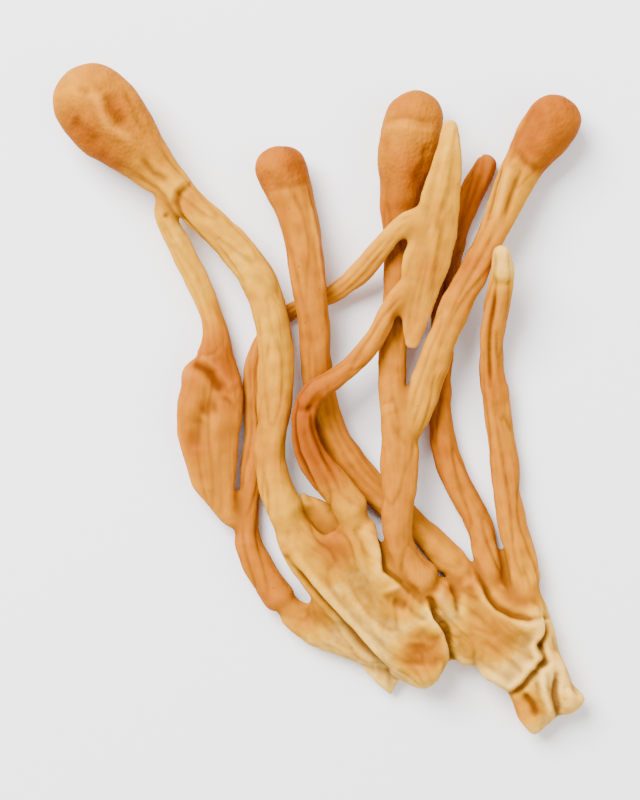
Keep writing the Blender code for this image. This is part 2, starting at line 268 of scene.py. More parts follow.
@dataclass
class CentreLine:
    """The line down the middle of a stalk, from its root to its tip."""

    knots: np.ndarray

    @classmethod
    def through(cls, places: np.ndarray) -> CentreLine:
        """Finds the line of a stalk that climbs in Y all the way.

        Args:
            places: Points all over its skin.

        Returns:
            The line.
        """
        climb = places[:, 1] - places[:, 1].min()
        count = max(6, round(climb.max() / LINE_SPACING))
        share = climb / climb.max()
        for _ in range(LINE_ROUNDS + 1):
            slab = np.clip((share * count).astype(int), 0, count - 1)
            filled = [k for k in range(count) if (slab == k).any()]
            slices = [places[slab == k] for k in filled]
            line = cls(np.array([(s.min(axis=0) + s.max(axis=0)) / 2.0 for s in slices]))
            line.straighten_ends()
            for _ in range(LINE_SMOOTHING):
                inner = line.knots[1:-1]
                line.knots[1:-1] = (line.knots[:-2] + 2.0 * inner + line.knots[2:]) / 4.0
            share = np.clip(line.unrolled(places)[:, 2] / line.length, 0.0, 1.0)
        return line

    def straighten_ends(self) -> None:
        """Lays the knots inside the rounded ends straight on from the stalk's body."""
        body = self.knots[END_KNOTS:-END_KNOTS]
        back = (body[0] - body[HEADING_KNOTS]) / HEADING_KNOTS
        on = (body[-1] - body[-1 - HEADING_KNOTS]) / HEADING_KNOTS
        steps = np.arange(1, END_KNOTS + 1)[:, None]
        self.knots = np.concatenate([body[0] + steps[::-1] * back, body, body[-1] + steps * on])

    @property
    def reached(self) -> np.ndarray:
        """How far along the line each knot is."""
        steps = np.linalg.norm(np.diff(self.knots, axis=0), axis=1)
        return np.concatenate([[0.0], np.cumsum(steps)])

    @property
    def length(self) -> float:
        """From the first knot to the last."""
        return float(self.reached[-1])

    def unrolled(self, places: np.ndarray) -> np.ndarray:
        """Places counted along the stalk instead of in the room.

        Args:
            places: A row per point.

        Returns:
            A row per point: how far right of the line it is, how far above it, and how far
            along it.
        """
        steps = np.diff(self.knots, axis=0)
        headings = np.gradient(self.knots, axis=0)
        headings /= np.linalg.norm(headings, axis=1, keepdims=True)
        reached = self.reached
        nearest = np.full(len(places), np.inf)
        foot = np.zeros_like(places)
        heading = np.zeros_like(places)
        along = np.zeros(len(places))
        for k, (start, step) in enumerate(zip(self.knots, steps)):
            share = np.clip((places - start) @ step / (step @ step), 0.0, 1.0)
            candidate = start + share[:, None] * step
            gap = ((places - candidate) ** 2).sum(axis=1)
            better = gap < nearest
            nearest[better] = gap[better]
            foot[better] = candidate[better]
            here = share[better, None]
            heading[better] = headings[k] * (1.0 - here) + headings[k + 1] * here
            along[better] = reached[k] + share[better] * (reached[k + 1] - reached[k])
        heading /= np.linalg.norm(heading, axis=1, keepdims=True)
        right = np.cross(heading, UP)
        right /= np.linalg.norm(right, axis=1, keepdims=True)
        over = np.cross(right, heading)
        offset = places - foot
        across = (offset * right).sum(axis=1)
        above = (offset * over).sum(axis=1)
        return np.stack([across, above, along + (offset * heading).sum(axis=1)], axis=1)


class Fold(Enum):
    """What a stroke leaves in the skin."""

    CREASE = "pressed in"
    RIDGE = "standing out"
    LIP = "standing out left of the stroke and pressed in right of it"


def offsets_from(
    route: np.ndarray, plan: np.ndarray, scale: np.ndarray
) -> tuple[np.ndarray, np.ndarray, np.ndarray]:
    """Where points are, seen from a route drawn on the skin.

    Args:
        route: The route's corners, a row each.
        plan: The points, a row each, on the same plan.
        scale: Millimetres for a unit of the plan at each point, both ways.

    Returns:
        For each point its distance from the route, 1 or -1 for left or right of it, and how far
        along the route it is, from 0 to 1.
    """
    nearest = np.full(len(plan), np.inf)
    side = np.ones(len(plan))
    along = np.zeros(len(plan))
    legs = len(route) - 1
    for k in range(legs):
        step = (route[k + 1] - route[k]) * scale
        offset = (plan - route[k]) * scale
        share = np.clip((offset * step).sum(axis=1) / (step * step).sum(axis=1), 0.0, 1.0)
        offset = offset - share[:, None] * step
        gap = np.hypot(offset[:, 0], offset[:, 1])
        better = gap < nearest
        nearest[better] = gap[better]
        turn = step[:, 0] * offset[:, 1] - step[:, 1] * offset[:, 0]
        side[better] = np.sign(turn[better])
        along[better] = (k + share[better]) / legs
    return nearest, side, along


@dataclass(frozen=True)
class Stroke:
    """A line drawn on the skin, with its depth and width in millimetres."""

    name: str
    fold: Fold
    depth: float
    width: float
    points: tuple[tuple[float, float], ...]

    def height(self, plan: np.ndarray, scale: np.ndarray) -> np.ndarray:
        """How far the stroke moves the skin, in millimetres outwards.

        Args:
            plan: Where each vertex is on the plan the stroke is drawn on.
            scale: Millimetres for a unit of the plan at each vertex, both ways.

        Returns:
            A number per vertex.
        """
        nearest, side, along = offsets_from(np.array(self.points), plan, scale)
        reach = nearest / self.width
        inner = eased(np.minimum(along, 1.0 - along), 0.0, STROKE_TAPER)
        depth = self.depth * (STROKE_END + (1.0 - STROKE_END) * inner)
        if self.fold is Fold.LIP:
            rise, drop = (
                share * np.exp(-((reach / width) ** 2)) for share, width in (LIP_RISE, LIP_DROP)
            )
            return depth * eased(reach, 0.0, LIP_STEP) * np.where(side > 0.0, rise, -drop)
        bell = np.exp(-(reach**2))
        return depth * bell if self.fold is Fold.RIDGE else -depth * bell

    def shade(self, plan: np.ndarray, scale: np.ndarray) -> np.ndarray:
        """How dark the painted shade at the bottom of the stroke is.

        Args:
            plan: Where each vertex is on the plan the stroke is drawn on.
            scale: Millimetres for a unit of the plan at each vertex, both ways.

        Returns:
            From 0 to 1, a number per vertex.
        """
        if self.fold is Fold.RIDGE:
            return np.zeros(len(plan))
        nearest, side, along = offsets_from(np.array(self.points), plan, scale)
        # Painted shade: the colour is darkened at the bottom of a crease and on the lower side of a
        # lip.
        dark = np.exp(-((nearest / (SHADE_WIDTH * self.width)) ** 2))
        dark *= eased(np.minimum(along, 1.0 - along), 0.0, STROKE_TAPER)
        if self.fold is Fold.LIP:
            dark *= side < 0.0
        gentle, steep = SHADE_SLOPES
        return dark * min(1.0, max(0.0, (self.depth / self.width - gentle) / (steep - gentle)))


def crease(name: str, depth: float, width: float, *points: tuple[float, float]) -> Stroke:
    """A stroke that is pressed in."""
    return Stroke(name, Fold.CREASE, depth, width, points)


def ridge(name: str, depth: float, width: float, *points: tuple[float, float]) -> Stroke:
    """A stroke that stands out."""
    return Stroke(name, Fold.RIDGE, depth, width, points)


def lip(name: str, depth: float, width: float, *points: tuple[float, float]) -> Stroke:
    """A stroke that stands out on one side and is pressed in on the other."""
    return Stroke(name, Fold.LIP, depth, width, points)


@dataclass(frozen=True)
class Patch:
    """A stain on the skin, riper or paler than what is round it, its size in millimetres."""

    name: str
    place: tuple[float, float]
    size: float
    change: float

    def ripeness(self, plan: np.ndarray, scale: np.ndarray) -> np.ndarray:
        """How much riper the stain makes each vertex.

        Args:
            plan: Where each vertex is on the plan the stain is drawn on.
            scale: Millimetres for a unit of the plan at each vertex, both ways.

        Returns:
            A number per vertex.
        """
        offset = (plan - np.array(self.place)) * scale
        reach = np.hypot(offset[:, 0], offset[:, 1]) / self.size
        return self.change * (1.0 - eased(reach, *PATCH_EDGE))


@dataclass(frozen=True)
class Pull:
    """A pinch of the skin that drying drew aside, seen from above, in millimetres."""

    name: str
    place: tuple[float, float]  # as shares of the piece's box, from its left and lower sides
    reach: float
    move: tuple[float, float, float]

    def moved(self, places: np.ndarray, node: str) -> np.ndarray:
        """Draws the vertices within reach along.

        Args:
            places: A row per vertex, in metres.
            node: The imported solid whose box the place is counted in.

        Returns:
            The places after the move.
        """
        low, high = (np.array(corner[:2]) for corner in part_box(node))
        offset = (places[:, :2] - low - np.array(self.place) * (high - low)) / MM
        hold = 1.0 - eased(np.hypot(offset[:, 0], offset[:, 1]), 0.0, self.reach)
        return places + hold[:, None] * np.array(self.move) * MM


@dataclass(frozen=True)
class Flap:
    """A torn tag of skin that stands out from the base, or a web of it between two roots."""

    name: str
    corners: tuple[tuple[float, float, float], ...]  # shares of the box in X and Y, height in mm
    curl: float  # how far its middle arches up, in millimetres
    thickness: float = 0.75

    def add_to(self, bm: bmesh.types.BMesh, node: str) -> None:
        """Adds the flap to a mesh.

        Args:
            bm: The mesh.
            node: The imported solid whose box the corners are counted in.
        """
        low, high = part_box(node)
        size = high - low
        a, b, c, d = (
            Vector((low.x + x * size.x, low.y + y * size.y, z * MM)) for x, y, z in self.corners
        )
        sheet = bmesh.ops.create_grid(bm, x_segments=FLAP_CUTS, y_segments=FLAP_CUTS, size=0.5)
        for vert in sheet["verts"]:
            u, v = vert.co.x + 0.5, vert.co.y + 0.5
            arch = math.sin(math.pi * v) * self.curl * MM * (FLAP_HEEL + (1.0 - FLAP_HEEL) * u)
            vert.co = a.lerp(b, v).lerp(d.lerp(c, v), u) + Vector((0.0, 0.0, arch))
        faces = dict.fromkeys(face for vert in sheet["verts"] for face in vert.link_faces)
        bmesh.ops.solidify(bm, geom=list(faces), thickness=self.thickness * MM)


def merged_copy(node: str) -> bmesh.types.BMesh:
    """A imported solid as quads, its loose triangles merged.

    Args:
        node: The solid's name.

    Returns:
        A closed mesh.
    """
    bm = bmesh.new()
    bm.from_mesh(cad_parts[node].data)
    bmesh.ops.remove_doubles(bm, verts=bm.verts, dist=DOUBLES)
    bmesh.ops.join_triangles(
        bm,
        faces=bm.faces,
        angle_face_threshold=QUAD_ANGLE,
        angle_shape_threshold=QUAD_SHAPE,
    )
    return bm


def solid_tree(node: str) -> BVHTree:
    """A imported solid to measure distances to."""
    bm = bmesh.new()
    bm.from_mesh(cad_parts[node].data)
    tree = BVHTree.FromBMesh(bm)
    bm.free()
    return tree


def grow_into(bm: bmesh.types.BMesh, parent: str) -> None:
    """Lets the faces that look at a neighbour across the gap grow on into it.

    Args:
        bm: The piece's mesh.
        parent: The neighbour's name.
    """
    tree = solid_tree(parent)
    facing = []
    pull = Vector()
    for face in bm.faces:
        centre = face.calc_center_median()
        hit, _, _, distance = tree.find_nearest(centre)
        facing_it = (hit - centre).dot(face.normal) > ROOT_FACING * distance
        if distance < ROOT_REACH and facing_it:
            facing.append(face)
            pull += face.normal * face.calc_area()
    grown = bmesh.ops.extrude_face_region(bm, geom=facing)["geom"]
    tips = [v for v in grown if isinstance(v, bmesh.types.BMVert)]
    bmesh.ops.translate(bm, verts=tips, vec=pull.normalized() * ROOT_DEPTH)
    bmesh.ops.delete(bm, geom=facing, context="FACES_ONLY")


@dataclass
class Piece:
    """One sub-part of the tuft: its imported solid, its finish and how it dried."""

    node: str
    slot: str
    grows_from: tuple[str, ...] = ()
    ripeness: tuple[tuple[float, float], ...] = ((0.0, 0.5), (1.0, 0.5))
    strokes: tuple[Stroke, ...] = ()
    patches: tuple[Patch, ...] = ()
    pulls: tuple[Pull, ...] = ()

    def seed(self) -> bmesh.types.BMesh:
        """The piece's plain shape, grown on into its neighbours."""
        bm = merged_copy(self.node)
        for parent in self.grows_from:
            grow_into(bm, parent)
        return bm

    def survey(self, places: np.ndarray) -> np.ndarray:
        """Where vertices are in the piece's own terms; the base class takes the room's."""
        return places

    def height(self, own: np.ndarray, places: np.ndarray, normals: np.ndarray) -> np.ndarray:
        """How far drying moved each vertex outwards, in millimetres."""
        raise NotImplementedError

    def plan(self, own: np.ndarray, places: np.ndarray) -> tuple[np.ndarray, np.ndarray]:
        """The plan that strokes and patches are drawn on, and its scale at each vertex."""
        raise NotImplementedError

    def ripeness_at(self, own: np.ndarray, places: np.ndarray) -> np.ndarray:
        """How ripe the skin is.

        Args:
            own: Places in the piece's own terms.
            places: Places in the room.

        Returns:
            From 0, cream, to 1, deep orange, for each vertex.
        """
        plan, scale = self.plan(own, places)
        shares, values = zip(*self.ripeness)
        ripe = np.interp(plan[:, 0], shares, values)
        for patch in self.patches:
            ripe += patch.ripeness(plan, scale)
        return np.clip(ripe, 0.0, 1.0)

    def shade_at(self, own: np.ndarray, places: np.ndarray, normals: np.ndarray) -> np.ndarray:
        """How dark the painted shade of the strokes makes each vertex, from 0 to 1."""
        plan, scale = self.plan(own, places)
        shades = [stroke.shade(plan, scale) for stroke in self.strokes]
        return np.max([np.zeros(len(own)), *shades], axis=0)

    def head_at(self, own: np.ndarray) -> np.ndarray:
        """1 where the skin has the grain of a club, and 0 elsewhere."""
        return np.zeros(len(own))


def fading(stalk: np.ndarray, left: float) -> np.ndarray:
    """1 on the stalk, falling to what is left of a wrinkle on the club."""
    return left + (1.0 - left) * stalk


@dataclass
class FruitBody(Piece):
    """A stalk, with or without a club."""

    furrows: float = 0.2  # depth of the lengthwise grooves, in millimetres
    oval: float = 0.07  # how far the stalk is from round, as a share of its radius
    lumps: float = 0.13
    head_from: float = 2.0  # where the club starts, as a share of the length
    seed_number: float = 0.0
    line: CentreLine = field(init=False)

    def __post_init__(self) -> None:
        """Finds the stalk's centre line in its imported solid."""
        bm = merged_copy(self.node)
        bmesh.ops.subdivide_edges(bm, edges=bm.edges, cuts=2, use_grid_fill=True)
        self.line = CentreLine.through(np.array([v.co[:] for v in bm.verts]))
        bm.free()

    def survey(self, places: np.ndarray) -> np.ndarray:
        """Right of, above and along the centre line, in millimetres."""
        return self.line.unrolled(places) / MM

    def share(self, own: np.ndarray) -> np.ndarray:
        """How far along the stalk each vertex is, from 0 to 1."""
        return np.clip(own[:, 2] * MM / self.line.length, 0.0, 1.0)

    def height(self, own: np.ndarray, places: np.ndarray, normals: np.ndarray) -> np.ndarray:
        """How far drying moved each vertex outwards, in millimetres.

        Args:
            own: Places counted along the stalk.
            places: Places in the room.
            normals: Which way is outwards; not used.

        Returns:
            A number per vertex.
        """
        seed = self.seed_number
        radius = np.maximum(np.hypot(own[:, 0], own[:, 1]), THINNEST)
        turn = np.arctan2(own[:, 1], own[:, 0])
        ring = np.stack([np.cos(turn), np.sin(turn)], axis=1)
        stalk = 1.0 - self.head_at(own)
        furrow = ridges_at(np.column_stack([ring, own[:, 2] / FURROW_LENGTH]), seed)
        fine_plan = np.column_stack([ring * FINE_COUNT, own[:, 2] / FINE_LENGTH])
        fine = ridges_at(fine_plan, seed + FINE_SHIFT)
        drift = OVAL_DRIFT * noise_at(own * (0.0, 0.0, OVAL_RATE), seed)
        height = self.oval * radius * np.cos(2.0 * (turn + drift)) * fading(stalk, 0.4)
        height += self.furrows * (furrow - FURROW_LEVEL) * fading(stalk, 0.25)
        height += self.furrows * FINE_SHARE * (fine - FINE_LEVEL) * fading(stalk, 0.35)
        height += self.lumps * noise_at(own / LUMP_SIZE, seed + LUMP_SHIFT)
        height += self.lumps * DENT_SHARE * noise_at(own / DENT_SIZE, seed + DENT_SHIFT)
        plan, scale = self.plan(own, places)
        for stroke in self.strokes:
            height += stroke.height(plan, scale)
        return height

    def plan(self, own: np.ndarray, places: np.ndarray) -> tuple[np.ndarray, np.ndarray]:
        """How far along the stalk, as a share, and how far round it, in degrees, 90 facing up."""
        turn = np.degrees(np.arctan2(own[:, 1], own[:, 0]))
        turn = np.where(turn < -90.0, turn + 360.0, turn)
        radius = np.maximum(np.hypot(own[:, 0], own[:, 1]), THINNEST)
        length = np.full(len(own), self.line.length / MM)
        plan = np.stack([self.share(own), turn], axis=1)
        return plan, np.stack([length, np.radians(radius)], axis=1)

    def head_at(self, own: np.ndarray) -> np.ndarray:
        """1 on the club, and 0 on the stalk."""
        return eased(self.share(own), self.head_from, self.head_from + HEAD_EDGE)


@dataclass
class Base(Piece):
    """The crumpled mass that the fruit bodies grew out of."""

    pleats: float = 0.17  # depth of the folds that run down it, in millimetres
    crumple: float = 0.11
    flaps: tuple[Flap, ...] = ()

    def seed(self) -> bmesh.types.BMesh:
        """The base's plain shape with its torn flaps."""
        bm = super().seed()
        for flap in self.flaps:
            flap.add_to(bm, self.node)
        return bm

    def plan(self, own: np.ndarray, places: np.ndarray) -> tuple[np.ndarray, np.ndarray]:
        """Shares of its box seen from above: from the tips of its lobes up, and from its left.

        Args:
            own: Places counted across and along the folds; not used.
            places: Places in the room.

        Returns:
            The plan and its scale. The plan is a mirror image of the base seen from above, so a
            lip stands out right of its stroke.
        """
        low, high = (np.array(corner[:2]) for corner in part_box(self.node))
        share = (places[:, :2] - low) / (high - low)
        scale = np.broadcast_to((high - low) / MM, share.shape)
        return share[:, ::-1], scale[:, ::-1]

    def survey(self, places: np.ndarray) -> np.ndarray:
        """Places in millimetres: across the folds, up, and along the folds."""
        flat = places[:, :2] / MM
        lean = math.radians(FOLD_LEAN)
        along = flat @ np.array((math.cos(lean), math.sin(lean)))
        across = flat @ np.array((-math.sin(lean), math.cos(lean)))
        return np.stack([across, places[:, 2] / MM, along], axis=1)

    def height(self, own: np.ndarray, places: np.ndarray, normals: np.ndarray) -> np.ndarray:
        """How far drying moved each vertex outwards, in millimetres.

        Args:
            own: Places counted across and along the folds.
            places: Places in the room.
            normals: Which way is outwards.

        Returns:
            A number per vertex.
        """
        warped = own.copy()
        warped[:, 0] += WARP * noise_at(own / WARP_SIZE, WARP_SHIFT)
        height = self.pleats * (ridges_at(warped / PLEAT_SIZE, PLEAT_SHIFT) - FINE_LEVEL)
        height += self.crumple * noise_at(own / CRUMPLE_SIZE, CRUMPLE_SHIFT)
        height += CRINKLE * (ridges_at(warped / CRINKLE_SIZE, CRINKLE_SHIFT) - FINE_LEVEL)
        plan, scale = self.plan(own, places)
        for stroke in self.strokes:
            height += self.facing_up(normals) * stroke.height(plan, scale)
        return height

    def shade_at(self, own: np.ndarray, places: np.ndarray, normals: np.ndarray) -> np.ndarray:
        """How dark the painted shade of the strokes makes the upper side, from 0 to 1."""
        return self.facing_up(normals) * super().shade_at(own, places, normals)

    def facing_up(self, normals: np.ndarray) -> np.ndarray:
        """1 on the upper side, where the strokes are drawn, and 0 below."""
        return eased(normals[:, 2], *UPPER_SIDE)


@dataclass
class Tuft:
    """The whole tuft, grown together and parted again."""

    pieces: tuple[Piece, ...]

    def fused(self) -> Skin:
        """Grows the pieces' plain shapes together into one skin.

        Returns:
            The skin, with its voxel steps smoothed out.
        """
        whole = bmesh.new()
        for piece in self.pieces:
            seed = piece.seed()
            mesh = bpy.data.meshes.new(piece.node)
            seed.to_mesh(mesh)
            seed.free()
            whole.from_mesh(mesh)
            bpy.data.meshes.remove(mesh)
        mesh = bpy.data.meshes.new("whole")
        bmesh.ops.recalc_face_normals(whole, faces=whole.faces)
        whole.to_mesh(mesh)
        whole.free()
        helper = placed("whole", mesh)
        rounded = helper.modifiers.new("round", "SUBSURF")
        rounded.levels = rounded.render_levels = 2
        fuse = helper.modifiers.new("fuse", "REMESH")
        fuse.mode = "VOXEL"
        fuse.voxel_size = VOXEL
        seen = helper.evaluated_get(bpy.context.evaluated_depsgraph_get())
        skin = Skin(bpy.data.meshes.new_from_object(seen))
        bpy.data.objects.remove(helper)
        skin.places = skin.spread(skin.places, FIRST_SMOOTHING)
        return skin

    def owners(self, skin: Skin) -> np.ndarray:
        """Which piece each vertex of the skin belongs to.

        Args:
            skin: The fused skin.

        Returns:
            The piece's number for each vertex.
        """
        gap = np.full((len(self.pieces), len(skin.places)), np.inf)
        for k, piece in enumerate(self.pieces):
            tree = solid_tree(piece.node)
            low, high = (np.array(corner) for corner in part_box(piece.node))
            inside = (skin.places > low - MM).all(axis=1) & (skin.places < high + MM).all(axis=1)
            near = np.flatnonzero(inside)
            gap[k, near] = [tree.find_nearest(Vector(p))[3] for p in skin.places[near].tolist()]
        first = gap.argmin(axis=0)
        member = (first[:, None] == np.arange(len(self.pieces))).astype(float)
        return skin.spread(member, OWNER_SMOOTHING).argmax(axis=1)

    def join_distance(self, skin: Skin, owner: np.ndarray) -> np.ndarray:
        """How far each vertex is from the nearest line where two pieces meet.

        Args:
            skin: The fused skin.
            owner: Which piece each vertex belongs to.

        Returns:
            Metres, a number per vertex.
        """
        crossing = skin.ends[owner[skin.ends[:, 0]] != owner[skin.ends[:, 1]]]
        seam = np.unique(crossing)
        tree = KDTree(len(seam))
        for k, place in enumerate(skin.places[seam].tolist()):
            tree.insert(place, k)
        tree.balance()
        return np.array([tree.find(place)[2] for place in skin.places.tolist()])

    def dry(self, skin: Skin, owner: np.ndarray) -> None:
        """Wrinkles the fused skin and stores what the finishes read.

        Args:
            skin: The fused skin.
            owner: Which piece each vertex belongs to.
        """
        apart = self.join_distance(skin, owner)
        soften = SPREAD_SHARE * (1.0 - eased(apart, 0.5 * JOIN_REACH, JOIN_REACH))
        skin.places = skin.spread(skin.places, JOIN_SMOOTHING, soften)
        for piece in self.pieces:
            for pull in piece.pulls:
                skin.places = pull.moved(skin.places, piece.node)
        skin.write_places()
        normals = skin.normals()
        calm = eased(apart, 0.0, CALM_REACH)
        height, ripeness, head, shade = np.zeros((4, len(owner)))
        lengthwise = np.zeros_like(skin.places)
        for k, piece in enumerate(self.pieces):
            mine = owner == k
            places = skin.places[mine]
            own = piece.survey(places)
            height[mine] = piece.height(own, places, normals[mine])
            ripeness[mine] = piece.ripeness_at(own, places)
            head[mine] = piece.head_at(own)
            shade[mine] = piece.shade_at(own, places, normals[mine])
            lengthwise[mine] = own * MM
            if isinstance(piece, FruitBody):
                height[mine] += ROUND_LOSS * np.hypot(own[:, 0], own[:, 1])
            log.info("%s: %d vertices", piece.node, mine.sum())
        shared = SHARED_DEPTH * noise_at(skin.places / SHARED_SIZE, SHARED_SHIFT)
        skin.places = skin.places + normals * ((height * calm + shared) * MM)[:, None]
        skin.places = skin.spread(skin.places, 1)
        steep = SPREAD_SHARE * eased(skin.spread(shade, STEEP_ROUNDS), *STEEP_SHADE)
        skin.places = skin.spread(skin.places, STROKE_SMOOTHING, steep)
        skin.places[:, 2] = np.maximum(skin.places[:, 2], 0.0)
        skin.write_places()
        self.store_looks(skin, ripeness, head, lengthwise, calm, shade)

    def store_looks(
        self,
        skin: Skin,
        ripeness: np.ndarray,
        head: np.ndarray,
        lengthwise: np.ndarray,
        calm: np.ndarray,
        shade: np.ndarray,
    ) -> None:
        """Stores what the finishes read.

        Args:
            skin: The wrinkled skin.
            ripeness: How orange each vertex is.
            head: Whether it is on a club.
            lengthwise: Its place counted along its piece, in metres.
            calm: 0 where two pieces meet, and 1 away from there.
            shade: How dark the painted shade of the drawn strokes makes it.
        """
        normals = skin.normals()
        skin.store("grown_normal", normals)
        hollow = np.zeros(len(normals))
        for rounds, bias, depth, weight in HOLLOWS:
            moved = skin.spread(skin.places, rounds) - skin.places
            inward = (moved * normals).sum(axis=1) / MM
            hollow += np.clip((inward + bias) / depth, -1.0, 1.0) * weight
        hollow = skin.spread(hollow, HOLLOW_ROUNDS)
        shade = skin.spread(shade, SHADE_ROUNDS)
        # Painted shade in the hollows and at the bottoms of strokes.
        skin.store("hollow", np.clip(np.maximum(hollow, 0.0) + shade, 0.0, 1.0))
        # Painted highlight on the convex ridges.
        skin.store("ridge", np.clip(-hollow - shade, 0.0, 1.0))
        skin.store("ripeness", skin.spread(ripeness, RIPENESS_ROUNDS))
        skin.store("head", skin.spread(head, HEAD_ROUNDS))
        skin.store("lengthwise", lengthwise)
        skin.store("calm", calm)

    def parted(self, skin: Skin, owner: np.ndarray) -> dict[str, bpy.types.Object]:
        """Parts the skin into its pieces, each closed where it was joined to the next.

        Args:
            skin: The wrinkled skin.
            owner: Which piece each vertex belongs to.

        Returns:
            The pieces by name.
        """
        corners = np.empty(len(skin.mesh.loops), dtype=np.int64)
        skin.mesh.loops.foreach_get("vertex_index", corners)
        starts = np.empty(len(skin.mesh.polygons), dtype=np.int64)
        skin.mesh.polygons.foreach_get("loop_start", starts)
        face_owner = np.minimum.reduceat(owner[corners], starts)
        for piece in self.pieces:
            skin.mesh.materials.append(bpy.data.materials.new(piece.node))
        skin.mesh.polygons.foreach_set("material_index", face_owner)
        skin.mesh.shade_smooth()
        whole = placed("whole", skin.mesh)
        bpy.ops.object.select_all(action="DESELECT")
        bpy.context.view_layer.objects.active = whole
        whole.select_set(True)
        bpy.ops.object.mode_set(mode="EDIT")
        bpy.ops.mesh.select_all(action="SELECT")
        bpy.ops.mesh.separate(type="MATERIAL")
        bpy.ops.object.mode_set(mode="OBJECT")
        found = {}
        for obj in list(bpy.context.selected_objects):
            name = obj.data.materials[0].name
            found[name] = obj
            close_joins(obj)
            obj.select_set(False)
        for name, obj in found.items():
            bpy.data.materials.remove(obj.data.materials[0])
            obj.data.materials.clear()
            obj.name = name + "_skin"
            obj.data.name = name + "_skin"
        return found


def close_joins(obj: bpy.types.Object) -> None:
    """Closes the openings that parting left, and keeps the skin's own normals.

    Args:
        obj: A piece of the skin.
    """
    bm = bmesh.new()
    bm.from_mesh(obj.data)
    outwards = bm.verts.layers.float_vector["grown_normal"]
    rim = [edge for edge in bm.edges if edge.is_boundary]
    grown = bmesh.ops.extrude_edge_only(bm, edges=rim)["geom"]
    for vert in (v for v in grown if isinstance(v, bmesh.types.BMVert)):
        vert.co -= vert[outwards] * RIM_DEPTH
    inner = [edge for edge in grown if isinstance(edge, bmesh.types.BMEdge) and edge.is_boundary]
    caps = bmesh.ops.holes_fill(bm, edges=inner, sides=0)["faces"]
    bmesh.ops.triangulate(bm, faces=caps)
    bm.to_mesh(obj.data)
    bm.free()
    normals = np.empty(len(obj.data.vertices) * 3, dtype=np.float32)
    obj.data.attributes["grown_normal"].data.foreach_get("vector", normals)
    obj.data.normals_split_custom_set_from_vertices(normals.reshape(-1, 3).tolist())
    obj.data.attributes.remove(obj.data.attributes["grown_normal"])


# --- Finishes -------------------------------------------------------------------------------


CREAM = (0.76, 0.44, 0.080, 1.0)
STRAW = (0.59, 0.262, 0.003, 1.0)
HONEY = (0.50, 0.183, 0.001, 1.0)
AMBER = (0.42, 0.130, 0.0006, 1.0)
ORANGE = (0.35, 0.088, 0.0004, 1.0)
DEEP_ORANGE = (0.265, 0.055, 0.0002, 1.0)
RIPENESS_STOPS = (
    (0.0, CREAM), (0.2, STRAW), (0.4, HONEY), (0.6, AMBER), (0.8, ORANGE), (1.0, DEEP_ORANGE)
)
# Painted shade: the dark brown that the hollows and the bottoms of strokes are blended to.
PAINTED_SHADE_BROWN = (0.085, 0.016, 0.0008, 1.0)
# Painted highlight: the pale colour that the convex ridges are blended to.
PAINTED_HIGHLIGHT = (0.84, 0.52, 0.14, 1.0)
UMBER = (0.06, 0.018, 0.003, 1.0)


COLOUR_A, COLOUR_B, COLOUR_MIX = 6, 7, 2  # a mix node's sockets for colours
TINT_PATCHES, TINT_SPOTS = (260.0, 2.0, 0.55), (1400.0, 3.0, 0.45)  # scale, detail and weight
HOLLOW_SHADE_STRENGTH = 0.86  # how strongly the deepest hollow is painted with shade
RIDGE_HIGHLIGHT = (0.42, 0.40)  # how strong the painted highlight on an unripe ridge is, and how much less on a ripe one
SPECK_SCALE, SPECK_SIZE, SPECK_STRENGTH = 900.0, (0.06, 0.16), 0.4
SPECK_AREAS, SPECK_LEVELS = (420.0, 1.0), (0.58, 0.72)  # where there are any
WRINKLE_STRETCH = (1.0, 1.0, 0.16)
COARSE_WRINKLES, FINE_WRINKLES = (1500.0, 2.0, 1.6), (4200.0, 3.0, 0.35)  # as for the tint
WOBBLE_SCALE, WOBBLE = 1600.0, 0.00025  # how the grains are moved out of rows, in metres
GRAIN_SCALE, GRAIN_EDGE = 2600.0, (0.05, 0.75)
DUST_SCALE, DUST_DETAIL, DUST_DEPTH = 9000.0, 2.0, 0.25
HOLLOW_ROUGHNESS = 0.2  # how much rougher the deepest hollow is


